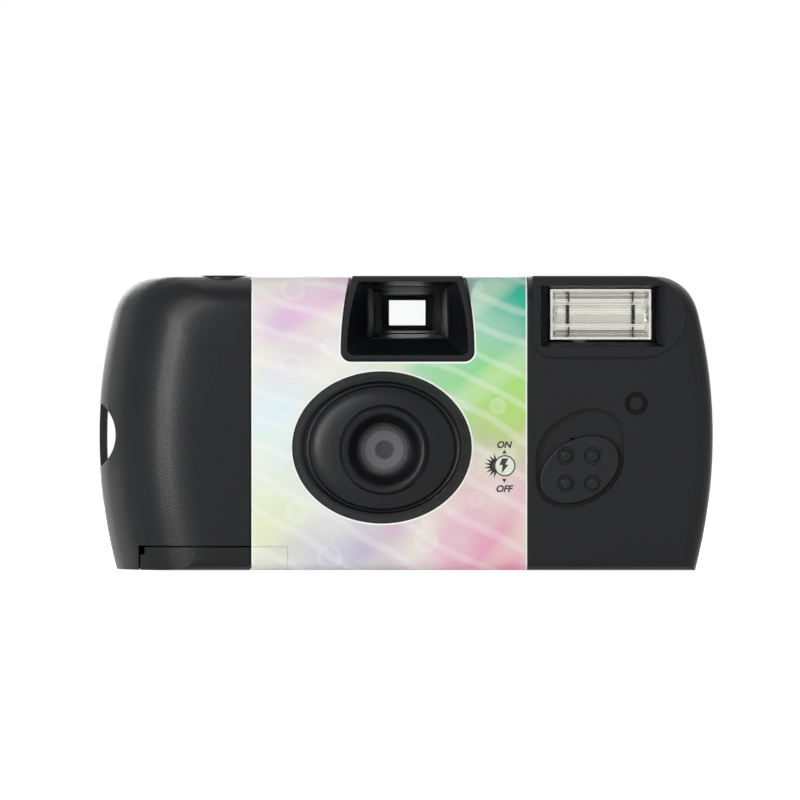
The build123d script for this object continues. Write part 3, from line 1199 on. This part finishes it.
def button_spring():
    """The coil that lifts the button again."""
    low_z = DECK_TOP_Z + SPRING_WIRE_RADIUS
    high_z = BUTTON_ARM_BOTTOM_Z - SPRING_WIRE_RADIUS
    pitch = (high_z - low_z) / BUTTON_SPRING_TURNS
    return coil_spring(Pos(BUTTON_SPRING_X, BUTTON_ARM_Y, low_z), BUTTON_SPRING_RADIUS, pitch, BUTTON_SPRING_TURNS)


def rim_of_teeth(radius, depth, count, width, first_angle):
    """A ring of small square teeth as one sketch, from a root circle outwards."""
    points = []
    for number in range(count):
        angle = math.radians(first_angle + 360 * number / count)
        along, across = (math.cos(angle), math.sin(angle)), (-math.sin(angle), math.cos(angle))
        for reach, side in ((radius - depth, -1), (radius + depth, -1), (radius + depth, 1), (radius - depth, 1)):
            offset = side * width / 2
            points.append((reach * along[0] + offset * across[0], reach * along[1] + offset * across[1]))
    return (Polygon(*points, align=None) & Circle(radius + depth)) + Circle(radius)


def winding_wheel():
    """The thumb wheel: ridged rim, dished top, bearing pin and the key that turns the spool."""
    root = WHEEL_RADIUS - WHEEL_RIDGE_DEPTH
    width = math.pi * WHEEL_RADIUS / WHEEL_RIDGES
    outline = rim_of_teeth(root, WHEEL_RIDGE_DEPTH, WHEEL_RIDGES, width, WHEEL_RIDGE_PHASE)
    wheel = extrude(outline, WHEEL_THICKNESS)
    dish = Circle(WHEEL_DISH_RADIUS) - Circle(WHEEL_HUB_RADIUS)
    wheel -= Pos(0, 0, WHEEL_THICKNESS - WHEEL_DISH_DEPTH) * extrude(dish, WHEEL_DISH_DEPTH + OVERRUN)
    bore = extrude(Circle(SPOOL_STUB_RADIUS + SEAT_GAP), SPOOL_STUB_LENGTH)
    key = extrude(Rectangle(2 * SPOOL_STUB_RADIUS + WALL, SPOOL_KEY_WIDTH), SPOOL_STUB_LENGTH)
    wheel = wheel - bore + key
    pin_length = BODY_HEIGHT - WALL - WHEEL_TOP_Z - 2 * MOVING_GAP
    wheel += Pos(0, 0, WHEEL_THICKNESS) * extrude(Circle(WHEEL_PIN_RADIUS), pin_length)
    return Pos(CARTRIDGE_X, CARTRIDGE_Y, WHEEL_BOTTOM_Z) * wheel


def wheel_pawl():
    """The springy catch that keeps the wheel from turning back."""
    low_z = CAM_BOTTOM_Z + MOVING_GAP
    x, y = PAWL_PIVOT_X, PAWL_PIVOT_Y
    reach = math.hypot(PAWL_TIP_X - x, PAWL_TIP_Y - y)
    angle = math.degrees(math.atan2(PAWL_TIP_Y - y, PAWL_TIP_X - x))
    pawl = rod_z(x, y, PAWL_HUB_RADIUS, low_z, low_z + PAWL_THICKNESS)
    arm = Pos(x, y, low_z) * Rot(0, 0, angle) * Pos(reach / 2, 0, PAWL_THICKNESS / 2)
    pawl += arm * Box(reach, PAWL_WIDTH, PAWL_THICKNESS)
    return pawl - rod_z(x, y, PAWL_PIN_RADIUS + RUNNING_FIT, low_z - OVERRUN, low_z + PAWL_THICKNESS + OVERRUN)


def sprocket_wheel():
    """The sprocket that the film's perforations turn, with its upright shaft."""
    first_angle = 90.0
    outline = rim_of_teeth(
        SPROCKET_RADIUS, SPROCKET_TOOTH_HEIGHT, SPROCKET_TEETH, SPROCKET_TOOTH_WIDTH, first_angle
    )
    half = SPROCKET_THICKNESS / 2
    wheel = Pos(SPROCKET_X, SPROCKET_Y, SPROCKET_MID_Z - half) * extrude(outline, SPROCKET_THICKNESS)
    return wheel + rod_z(SPROCKET_X, SPROCKET_Y, SPROCKET_SHAFT_RADIUS, SPROCKET_MID_Z, CAM_BOTTOM_Z)


def cam_disc():
    """The cam that winds the drive lever, with the finger that turns the counter."""
    lobe = Rot(0, 0, CAM_LOBE_ANGLE) * Pos(CAM_LOBE, 0) * Circle(CAM_RADIUS)
    cam = extrude(Circle(CAM_RADIUS) + lobe, CAM_THICKNESS)
    finger_low = FINGER_BOTTOM_Z - CAM_BOTTOM_Z
    cam += extrude(Circle(SPROCKET_SHAFT_RADIUS), finger_low + FINGER_THICKNESS)
    reach = math.hypot(COUNTER_X - SPROCKET_X, COUNTER_Y - SPROCKET_Y)
    reach -= COUNTER_RADIUS + MOVING_GAP
    turn = math.degrees(math.atan2(COUNTER_Y - SPROCKET_Y, COUNTER_X - SPROCKET_X))
    strip = Rot(0, 0, turn) * Pos(reach / 2, 0) * Rectangle(reach, FINGER_WIDTH)
    finger = Pos(0, 0, finger_low) * extrude(strip, FINGER_THICKNESS)
    return Pos(SPROCKET_X, SPROCKET_Y, CAM_BOTTOM_Z) * (cam + finger)


def counter_wheel():
    """The frame counter: a flat toothed disc; a tooth gap faces the cam's finger."""
    root = COUNTER_RADIUS - COUNTER_TOOTH_DEPTH
    width = math.pi * COUNTER_RADIUS / COUNTER_TEETH - 2 * SEAT_GAP
    towards_cam = math.degrees(math.atan2(SPROCKET_Y - COUNTER_Y, SPROCKET_X - COUNTER_X))
    first_angle = towards_cam + 180 / COUNTER_TEETH
    outline = rim_of_teeth(root, COUNTER_TOOTH_DEPTH, COUNTER_TEETH, width, first_angle)
    outline -= Circle(COUNTER_POST_RADIUS + RUNNING_FIT)
    return Pos(COUNTER_X, COUNTER_Y, COUNTER_BOTTOM_Z) * extrude(outline, COUNTER_THICKNESS)


def counter_window():
    """The clear plug over the counter, with a thin flange under the roof."""
    flange_z = BODY_HEIGHT - WALL - COUNTER_WINDOW_FLANGE
    plug = rod_z(COUNTER_X, COUNTER_WINDOW_Y, COUNTER_WINDOW_RADIUS, flange_z, BODY_HEIGHT)
    flange_radius = COUNTER_WINDOW_RADIUS + COUNTER_WINDOW_FLANGE
    flange = rod_z(COUNTER_X, COUNTER_WINDOW_Y, flange_radius, flange_z, BODY_HEIGHT)
    plug &= band_solid(LABEL_THICKNESS, LABEL_LEFT_X, LABEL_RIGHT_X)
    return plug + (flange & band_solid(WALL + SEAT_GAP, LABEL_LEFT_X, LABEL_RIGHT_X))


def finder_box(draw_in):
    """The viewfinder tunnel as a solid, tapering to the eyepiece, drawn in by a wall."""
    front = front_plane(HOOD_REAR_Y + SEAT_GAP) * Pos(
        (FINDER_LEFT_X + FINDER_RIGHT_X) / 2, (FINDER_BOTTOM_Z + FINDER_TOP_Z) / 2
    )
    width = FINDER_RIGHT_X - FINDER_LEFT_X + 2 * (FINDER_WALL - draw_in)
    height = FINDER_TOP_Z - FINDER_BOTTOM_Z + 2 * (FINDER_WALL - draw_in)
    rear = front_plane(FINDER_REAR_Y) * Pos(
        (FINDER_LEFT_X + FINDER_RIGHT_X) / 2, (FINDER_SIGHT_BOTTOM_Z + FINDER_SIGHT_TOP_Z) / 2
    )
    rear_width = EYEPIECE_WIDTH + 2 * (FINDER_WALL - draw_in)
    rear_height = EYEPIECE_HEIGHT + 2 * (FINDER_WALL - draw_in)
    return loft([front * Rectangle(width, height), rear * Rectangle(rear_width, rear_height)], ruled=True)


def finder_mask(y, grow):
    """A thin frame across the tunnel with a window in it."""
    plate = finder_box(FINDER_WALL / 2) & everything_between(y, y + FINDER_WALL)
    return plate - block(
        FINDER_SIGHT_LEFT_X - grow, FINDER_SIGHT_RIGHT_X + grow, y - OVERRUN, y + OVERRUN,
        FINDER_SIGHT_BOTTOM_Z - grow, FINDER_SIGHT_TOP_Z + grow,
    )


def viewfinder_frame():
    """The viewfinder tunnel with two stepped masks."""
    tunnel = finder_box(0.0) - finder_box(FINDER_WALL)
    middle_y = (HOOD_REAR_Y + FINDER_REAR_Y) / 2
    rear_mask_y = FINDER_REAR_Y - FINDER_LENS_THICKNESS - 2 * FINDER_WALL
    frame = tunnel + finder_mask(middle_y, FINDER_STEP) + finder_mask(rear_mask_y, 0.0)
    return frame & band_solid(WALL + SEAT_GAP, LABEL_LEFT_X, LABEL_RIGHT_X)


def viewfinder_front_lens():
    """The front finder lens, hollow on its inner face."""
    front_y = HOOD_REAR_Y + FINDER_WALL
    rear_y = front_y + FINDER_LENS_THICKNESS
    lens = finder_box(FINDER_WALL + SEAT_GAP) & everything_between(front_y, rear_y)
    x, z = (FINDER_LEFT_X + FINDER_RIGHT_X) / 2, (FINDER_BOTTOM_Z + FINDER_TOP_Z) / 2
    middle_y = rear_y - FINDER_LENS_THICKNESS / 2 + FINDER_LENS_CURVE
    return lens - Pos(x, middle_y, z) * Sphere(FINDER_LENS_CURVE)


def eyepiece_lens():
    """The eyepiece, crowned towards the eye."""
    front_y = FINDER_REAR_Y - FINDER_LENS_THICKNESS
    lens = finder_box(FINDER_WALL + SEAT_GAP) & everything_between(front_y, FINDER_REAR_Y)
    x, z = (FINDER_LEFT_X + FINDER_RIGHT_X) / 2, (FINDER_SIGHT_BOTTOM_Z + FINDER_SIGHT_TOP_Z) / 2
    return lens & Pos(x, FINDER_REAR_Y - EYEPIECE_CURVE, z) * Sphere(EYEPIECE_CURVE)


def cartridge_shell():
    """The rolled steel shell of the film cartridge, with the lips of its mouth."""
    low_z, high_z = CARTRIDGE_BOTTOM_Z + CARTRIDGE_SHELL, CARTRIDGE_TOP_Z - CARTRIDGE_SHELL
    inner_radius = CARTRIDGE_RADIUS - CARTRIDGE_SHELL
    shell = rod_z(CARTRIDGE_X, CARTRIDGE_Y, CARTRIDGE_RADIUS, low_z, high_z)
    lip_x, lip_y = CARTRIDGE_X + LIP_LENGTH, FILM_Y + FILM_THICKNESS / 2
    lip_low, lip_high = FILM_BOTTOM_Z - LIP_MARGIN, FILM_TOP_Z + LIP_MARGIN
    half = LIP_THICKNESS / 2
    shell += block(CARTRIDGE_X, lip_x, lip_y - half, lip_y + half, lip_low, lip_high)
    shell -= rod_z(CARTRIDGE_X, CARTRIDGE_Y, inner_radius, low_z, high_z)
    half -= CARTRIDGE_SHELL
    slot_x = CARTRIDGE_X + SPOOL_KEY_WIDTH
    low, high = lip_low + CARTRIDGE_SHELL, lip_high - CARTRIDGE_SHELL
    return shell - block(slot_x, lip_x + OVERRUN, lip_y - half, lip_y + half, low, high)


def cartridge_caps():
    """The two crimped end caps of the cartridge."""
    bore = SPOOL_STUB_RADIUS + 2 * SEAT_GAP
    bottom = CARTRIDGE_BOTTOM_Z
    top = CARTRIDGE_TOP_Z
    caps = rod_z(CARTRIDGE_X, CARTRIDGE_Y, CARTRIDGE_RADIUS, bottom, bottom + CARTRIDGE_SHELL)
    caps += rod_z(CARTRIDGE_X, CARTRIDGE_Y, CARTRIDGE_RADIUS, top - CARTRIDGE_SHELL, top)
    rim = CARTRIDGE_RADIUS - CARTRIDGE_SHELL - SEAT_GAP
    caps += rod_z(CARTRIDGE_X, CARTRIDGE_Y, rim, bottom, bottom + CARTRIDGE_CAP_DEPTH)
    caps += rod_z(CARTRIDGE_X, CARTRIDGE_Y, rim, top - CARTRIDGE_CAP_DEPTH, top)
    hollow = rim - CARTRIDGE_SHELL
    low, high = bottom + CARTRIDGE_SHELL, top - CARTRIDGE_SHELL
    caps -= rod_z(CARTRIDGE_X, CARTRIDGE_Y, hollow, low, high)
    return caps - rod_z(CARTRIDGE_X, CARTRIDGE_Y, bore, bottom - OVERRUN, top + OVERRUN)


def cartridge_spool():
    """The spool inside the cartridge, with the slotted stub that the wheel's key turns."""
    gap = CARTRIDGE_SHELL + MOVING_GAP
    low, high = CARTRIDGE_BOTTOM_Z + gap, CARTRIDGE_TOP_Z - gap
    spool = rod_z(CARTRIDGE_X, CARTRIDGE_Y, SPOOL_RADIUS, low, high)
    spool += rod_z(CARTRIDGE_X, CARTRIDGE_Y, SPOOL_FLANGE_RADIUS, low, low + SPOOL_FLANGE)
    spool += rod_z(CARTRIDGE_X, CARTRIDGE_Y, SPOOL_FLANGE_RADIUS, high - SPOOL_FLANGE, high)
    stub_top = WHEEL_BOTTOM_Z + SPOOL_STUB_LENGTH - SEAT_GAP
    spool += rod_z(CARTRIDGE_X, CARTRIDGE_Y, SPOOL_STUB_RADIUS, CARTRIDGE_BOTTOM_Z, stub_top)
    half_key = SPOOL_KEY_WIDTH / 2 + SEAT_GAP
    return spool - block(
        CARTRIDGE_X - SPOOL_RADIUS, CARTRIDGE_X + SPOOL_RADIUS, CARTRIDGE_Y - half_key, CARTRIDGE_Y + half_key,
        WHEEL_BOTTOM_Z - SEAT_GAP, stub_top + OVERRUN,
    )


def light_trap_felt():
    """The two strips of plush that seal the cartridge's mouth round the film."""
    margin = LIP_MARGIN - CARTRIDGE_SHELL
    low_z, high_z = FILM_BOTTOM_Z - margin, FILM_TOP_Z + margin
    middle_y = FILM_Y + FILM_THICKNESS / 2
    half_slot = LIP_THICKNESS / 2 - CARTRIDGE_SHELL
    left_x, right_x = CARTRIDGE_X + LIP_LENGTH / 2, CARTRIDGE_X + LIP_LENGTH
    felt = block(left_x, right_x, middle_y - half_slot, FILM_Y - SEAT_GAP / 2, low_z, high_z)
    rear_low_y = FILM_Y + FILM_THICKNESS + SEAT_GAP / 2
    return felt + block(left_x, right_x, rear_low_y, middle_y + half_slot, low_z, high_z)


def film_strip():
    """The film across the gate, with both rows of perforations and a longer slot where the teeth pass."""
    left_x = CARTRIDGE_X + SPOOL_KEY_WIDTH
    strip = block(left_x, ROLL_X, FILM_Y, FILM_Y + FILM_THICKNESS, FILM_BOTTOM_Z, FILM_TOP_Z)
    holes = Sketch()
    low_z = FILM_BOTTOM_Z + PERFORATION_EDGE + PERFORATION_WIDTH / 2
    first = math.ceil((left_x - SPROCKET_X) / PERFORATION_PITCH + 1)
    last = math.floor((ROLL_X - SPROCKET_X) / PERFORATION_PITCH)
    for number in range(first, last):
        x = SPROCKET_X + number * PERFORATION_PITCH
        for z in (low_z, SPROCKET_MID_Z):
            holes += Pos(x, z) * Rectangle(PERFORATION_LENGTH, PERFORATION_WIDTH)
    tip_radius = SPROCKET_RADIUS + SPROCKET_TOOTH_HEIGHT
    reach = math.sqrt(tip_radius ** 2 - (FILM_Y - SPROCKET_Y) ** 2) + MOVING_GAP / 2
    holes += Pos(SPROCKET_X, SPROCKET_MID_Z) * Rectangle(2 * reach, PERFORATION_WIDTH)
    return strip - extrude(front_plane(FILM_Y + OVERRUN) * holes, 2 * OVERRUN)


def film_roll():
    """The film that is still to be exposed, wound on its own spool."""
    roll = rod_z(ROLL_X, ROLL_Y, ROLL_RADIUS, FILM_BOTTOM_Z, FILM_TOP_Z)
    return roll - rod_z(ROLL_X, ROLL_Y, ROLL_SPOOL_RADIUS, 0, BODY_HEIGHT)


def supply_spool():
    """The plain spool inside the roll; it turns on its two pins."""
    low_z, high_z = FILM_BOTTOM_Z - ROLL_SPOOL_OVERHANG, FILM_TOP_Z + ROLL_SPOOL_OVERHANG
    spool = rod_z(ROLL_X, ROLL_Y, ROLL_SPOOL_RADIUS, low_z, high_z)
    spool += rod_z(ROLL_X, ROLL_Y, ROLL_SPOOL_PIN, low_z - CHAMBER_WALL, high_z + CHAMBER_WALL)
    return spool - rod_z(ROLL_X, ROLL_Y, ROLL_SPOOL_PIN - CONE_WALL, 0, BODY_HEIGHT)


def flash_window():
    """The clear flash window: flange, raised pane with a rim and flutes behind."""
    flange_y = FLASH_FLOOR_Y + SEAT_GAP
    left_x, right_x = FLASH_INNER_LEFT_X + SEAT_GAP, FLASH_INNER_RIGHT_X - SEAT_GAP
    low_z, high_z = FLASH_INNER_BOTTOM_Z + SEAT_GAP, FLASH_INNER_TOP_Z - SEAT_GAP
    window = block(left_x, right_x, flange_y, flange_y + PANE_FLANGE, low_z, high_z)
    pane = block(
        PANE_LEFT_X, PANE_RIGHT_X, flange_y - PANE_FACE, flange_y + PANE_FLANGE, PANE_BOTTOM_Z, PANE_TOP_Z
    )
    window += fillet(pane.edges().filter_by(Axis.Y), PANE_CORNER)
    pitch = (PANE_TOP_Z - PANE_BOTTOM_Z - 2 * PANE_FLANGE_WIDTH) / PANE_RIBS
    for number in range(PANE_RIBS):
        z = PANE_BOTTOM_Z + PANE_FLANGE_WIDTH + pitch * (number + 1 / 2)
        window -= rod_x(
            PANE_LEFT_X + PANE_CORNER, PANE_RIGHT_X - PANE_CORNER, flange_y + PANE_FLANGE, z, PANE_RIB_DEPTH
        )
    return window


def flash_reflector():
    """The bright trough behind the flash window."""
    front_y = FLASH_FLOOR_Y + PANE_FLANGE + 2 * SEAT_GAP
    rear_y = front_y + REFLECTOR_DEPTH
    width, height = PANE_RIGHT_X - PANE_LEFT_X, PANE_TOP_Z - PANE_BOTTOM_Z
    wall = 2 * REFLECTOR_WALL
    slope = 2 * REFLECTOR_SLOPE

    def trough(grow):
        wide = framed_rectangle(width - wall + grow, height - wall + grow, PANE_MID_X, PANE_MID_Z, front_y)
        narrow = framed_rectangle(
            width - wall + grow - slope / 2, height - wall + grow - slope, PANE_MID_X, PANE_MID_Z, rear_y
        )
        return loft([wide, narrow], ruled=True)

    hollow = trough(0.0) & everything_between(-BODY_WIDTH, rear_y - REFLECTOR_WALL)
    pins = rod_x(PANE_LEFT_X, PANE_RIGHT_X, TUBE_Y, PANE_MID_Z, TUBE_PIN_RADIUS + SEAT_GAP)
    return trough(wall) - hollow - pins


def flash_tube():
    """The glass flash tube with a pin at each end."""
    half = TUBE_LENGTH / 2
    tube = rod_x(PANE_MID_X - half, PANE_MID_X + half, TUBE_Y, PANE_MID_Z, TUBE_RADIUS)
    tube = fillet(tube.edges(), TUBE_PIN_RADIUS)
    reach = half + TUBE_PIN_LENGTH
    return tube + rod_x(PANE_MID_X - reach, PANE_MID_X + reach, TUBE_Y, PANE_MID_Z, TUBE_PIN_RADIUS)


def flash_switch():
    """The flash slider: slanted oval pad with four nubs, each in a shallow moat, and its stem."""
    back_y = POCKET_FLOOR_Y - SEAT_GAP
    face_y = back_y - SWITCH_THICKNESS
    oval = tilted_oval(SWITCH_HALF_LENGTH, SWITCH_HALF_WIDTH, POCKET_X, SWITCH_Z)
    switch = extrude(front_plane(back_y) * oval, SWITCH_THICKNESS)
    front_edges = [e for e in switch.edges() if e.center().Y < face_y + SWITCH_CROWN / 2]
    switch = chamfer(front_edges, SWITCH_CROWN)
    for side in (-1, 1):
        for level in (-1, 1):
            x, z = POCKET_X + side * NUB_SPACING_X / 2, SWITCH_Z + level * NUB_SPACING_Z / 2
            switch -= rod_y(x, z, MOAT_RADIUS, face_y - OVERRUN, face_y + MOAT_DEPTH)
            nub = rod_y(x, z, NUB_RADIUS, face_y + MOAT_DEPTH - NUB_HEIGHT, back_y)
            top_edges = [e for e in nub.edges() if e.center().Y < face_y]
            switch += fillet(top_edges, MOAT_DEPTH)
    half = SWITCH_STEM_WIDTH / 2
    rear_y = SWITCH_STEM_REAR_Y
    return switch + block(POCKET_X - half, POCKET_X + half, back_y, rear_y, SWITCH_Z - half, SWITCH_Z + half)


def light_guide():
    """The clear rod behind the switch's stem: its tip rises through the roof when the flash is on."""
    half = GUIDE_WIDTH / 2
    low_z = SWITCH_Z - SWITCH_STEM_WIDTH / 2
    rod = block(
        POCKET_X - half, POCKET_X + half, SWITCH_STEM_REAR_Y, SWITCH_STEM_REAR_Y + GUIDE_WIDTH, low_z, BODY_HEIGHT
    )
    return chamfer(rod.edges().group_by(Axis.Z)[-1], GUIDE_TIP_CHAMFER)


def circuit_board():
    """The flash board, with a slot for the switch's stem and a corner left out for the battery."""
    board = block(BOARD_LEFT_X, BOARD_RIGHT_X, BOARD_FRONT_Y, BOARD_REAR_Y, BOARD_BOTTOM_Z, BOARD_TOP_Z)
    corner_x = BATTERY_RIGHT_X + BATTERY_NUB_LENGTH + CONTACT_THICKNESS + WALL
    board -= block(
        BOARD_LEFT_X - OVERRUN, corner_x, BOARD_FRONT_Y - OVERRUN, BOARD_REAR_Y + OVERRUN,
        0, BATTERY_Z + BATTERY_RADIUS + WALL,
    )
    half = BOARD_SLOT_WIDTH / 2
    return board - block(
        POCKET_X - half, POCKET_X + half, BOARD_FRONT_Y - OVERRUN, BOARD_REAR_Y + OVERRUN,
        SWITCH_Z - half, SWITCH_Z + POCKET_TRAVEL + half,
    )


def main_capacitor():
    """The flash capacitor, with the crimp near its foot."""
    top_z = CAPACITOR_BOTTOM_Z + CAPACITOR_LENGTH
    can = rod_z(CAPACITOR_X, CAPACITOR_Y, CAPACITOR_RADIUS, CAPACITOR_BOTTOM_Z, top_z)
    can = fillet(can.edges(), CAPACITOR_GROOVE)
    groove_z = CAPACITOR_BOTTOM_Z + CAPACITOR_RADIUS / 2
    ring = rod_z(CAPACITOR_X, CAPACITOR_Y, CAPACITOR_RADIUS + OVERRUN, groove_z, groove_z + CAPACITOR_GROOVE)
    core = rod_z(CAPACITOR_X, CAPACITOR_Y, CAPACITOR_RADIUS - CAPACITOR_GROOVE, 0, BODY_HEIGHT)
    return can - (ring - core)


def transformer():
    """The small step-up transformer: two ferrite cheeks and a wound waist."""
    x, y = TRANSFORMER_X, TRANSFORMER_Y
    half_width, half_depth = TRANSFORMER_WIDTH / 2, TRANSFORMER_DEPTH / 2
    low, high = TRANSFORMER_BOTTOM_Z, TRANSFORMER_BOTTOM_Z + TRANSFORMER_HEIGHT
    cheek = TRANSFORMER_HEIGHT / 4
    core = block(x - half_width, x + half_width, y - half_depth, y + half_depth, low, low + cheek)
    core += block(x - half_width, x + half_width, y - half_depth, y + half_depth, high - cheek, high)
    return core + rod_z(x, y, TRANSFORMER_WINDING_RADIUS, low, high)


def trigger_coil():
    """The small trigger coil that fires the tube."""
    coil = rod_z(COIL_X, COIL_Y, COIL_RADIUS, COIL_BOTTOM_Z, COIL_BOTTOM_Z + COIL_LENGTH)
    return fillet(coil.edges(), TUBE_PIN_RADIUS)


def ready_lamp():
    """The neon lamp beside the light guide."""
    y = BOARD_REAR_Y + LAMP_RADIUS + SEAT_GAP
    lamp = rod_z(LAMP_X, y, LAMP_RADIUS, LAMP_BOTTOM_Z, LAMP_BOTTOM_Z + LAMP_LENGTH)
    return fillet(lamp.edges().group_by(Axis.Z)[-1], LAMP_RADIUS / 2)


def resistors():
    """Three small resistors in a row behind the board."""
    group = []
    y = BOARD_REAR_Y + RESISTOR_RADIUS + SEAT_GAP
    x = BOARD_RIGHT_X - RESISTOR_LENGTH
    for number in range(RESISTOR_COUNT):
        z = BOARD_BOTTOM_Z + RESISTOR_SPACING * (number + 1)
        body = rod_x(x - RESISTOR_LENGTH / 2, x + RESISTOR_LENGTH / 2, y, z, RESISTOR_RADIUS)
        group.append(fillet(body.edges(), RESISTOR_RADIUS / 2))
    return Compound(children=group)


def transistor():
    """The flat-backed switching transistor on the board."""
    x = BOARD_RIGHT_X - TRANSISTOR_WIDTH
    y = BOARD_REAR_Y + SEAT_GAP
    low_z = BOARD_BOTTOM_Z + RESISTOR_SPACING * (RESISTOR_COUNT + 1)
    return block(
        x - TRANSISTOR_WIDTH / 2, x + TRANSISTOR_WIDTH / 2, y, y + TRANSISTOR_DEPTH, low_z, low_z + TRANSISTOR_HEIGHT
    )


def battery():
    """The small cell that lies under the lens, nub to the right."""
    cell = rod_x(BATTERY_LEFT_X, BATTERY_RIGHT_X, BATTERY_Y, BATTERY_Z, BATTERY_RADIUS)
    cell = fillet(cell.edges(), CAPACITOR_GROOVE)
    return cell + rod_x(
        BATTERY_RIGHT_X, BATTERY_RIGHT_X + BATTERY_NUB_LENGTH, BATTERY_Y, BATTERY_Z, BATTERY_NUB_RADIUS
    )


def battery_contact(x, top_z):
    """A flat spring contact across one end of the cell."""
    half_width, half_height = CONTACT_WIDTH / 2, CONTACT_HEIGHT / 2
    return block(
        x, x + CONTACT_THICKNESS, BATTERY_Y - half_width, BATTERY_Y + half_width, BATTERY_Z - half_height, top_z
    )


def sync_contacts():
    """The two leaves that the blade closes to fire the flash."""
    rear_y = LAYER_Y
    leaves = []
    for number in range(2):
        y = rear_y - number * SYNC_LEAF_GAP
        leaves.append(block(
            SYNC_LEAF_X, SYNC_LEAF_X + SYNC_LEAF_LENGTH, y - SYNC_LEAF_THICKNESS, y,
            SYNC_LEAF_Z, SYNC_LEAF_Z + SYNC_LEAF_WIDTH,
        ))
    seat_x = SYNC_LEAF_X + SYNC_LEAF_LENGTH
    low_y = rear_y - SYNC_LEAF_GAP - SYNC_LEAF_THICKNESS
    return leaves[0] + leaves[1] + block(
        seat_x - SYNC_LEAF_WIDTH, seat_x, low_y, SHUTTER_WALL_Y, SYNC_LEAF_Z, SYNC_LEAF_Z + SYNC_LEAF_WIDTH
    )


def switch_contact():
    """The leaf on the board beside the switch's stem."""
    x = POCKET_X + BOARD_SLOT_WIDTH / 2 + MOVING_GAP
    low_z = SWITCH_Z
    return block(
        x, x + SYNC_LEAF_WIDTH, BOARD_FRONT_Y - SYNC_LEAF_THICKNESS, BOARD_FRONT_Y, low_z, low_z + POCKET_TRAVEL
    )


PIECES = {
    "front_cover": front_cover,
    "rear_cover": rear_cover,
    "label_wrap": label_wrap,
    "label_flap": label_flap,
    "cartridge_door": cartridge_door,
    "main_body": main_body,
    "lens_holder": lens_holder,
    "taking_lens": taking_lens,
    "shutter_blade": shutter_blade,
    "blade_spring": blade_spring,
    "release_lever": release_lever,
    "release_spring": release_spring,
    "drive_lever": drive_lever,
    "drive_spring": drive_spring,
    "shutter_button": shutter_button,
    "button_spring": button_spring,
    "winding_wheel": winding_wheel,
    "wheel_pawl": wheel_pawl,
    "sprocket_wheel": sprocket_wheel,
    "cam_disc": cam_disc,
    "counter_wheel": counter_wheel,
    "counter_window": counter_window,
    "viewfinder_frame": viewfinder_frame,
    "viewfinder_front_lens": viewfinder_front_lens,
    "eyepiece_lens": eyepiece_lens,
    "cartridge_shell": cartridge_shell,
    "cartridge_caps": cartridge_caps,
    "cartridge_spool": cartridge_spool,
    "light_trap_felt": light_trap_felt,
    "film_strip": film_strip,
    "film_roll": film_roll,
    "supply_spool": supply_spool,
    "flash_window": flash_window,
    "flash_reflector": flash_reflector,
    "flash_tube": flash_tube,
    "flash_switch": flash_switch,
    "light_guide": light_guide,
    "circuit_board": circuit_board,
    "main_capacitor": main_capacitor,
    "transformer": transformer,
    "trigger_coil": trigger_coil,
    "ready_lamp": ready_lamp,
    "resistors": resistors,
    "transistor": transistor,
    "battery": battery,
    "battery_contact_negative": lambda: battery_contact(
        BATTERY_LEFT_X - SEAT_GAP - CONTACT_THICKNESS, BATTERY_Z + CONTACT_HEIGHT / 2
    ),
    "battery_contact_positive": lambda: battery_contact(
        BATTERY_RIGHT_X + BATTERY_NUB_LENGTH + SEAT_GAP, BATTERY_Z + CONTACT_HEIGHT / 2
    ),
    "sync_contacts": sync_contacts,
    "switch_contact": switch_contact,
}

os.makedirs("parts", exist_ok=True)
for node, make in PIECES.items():
    piece = make()
    export_step(piece, os.path.join("parts", node + ".step"))
    print(node, round(piece.volume, 1), "mm3")
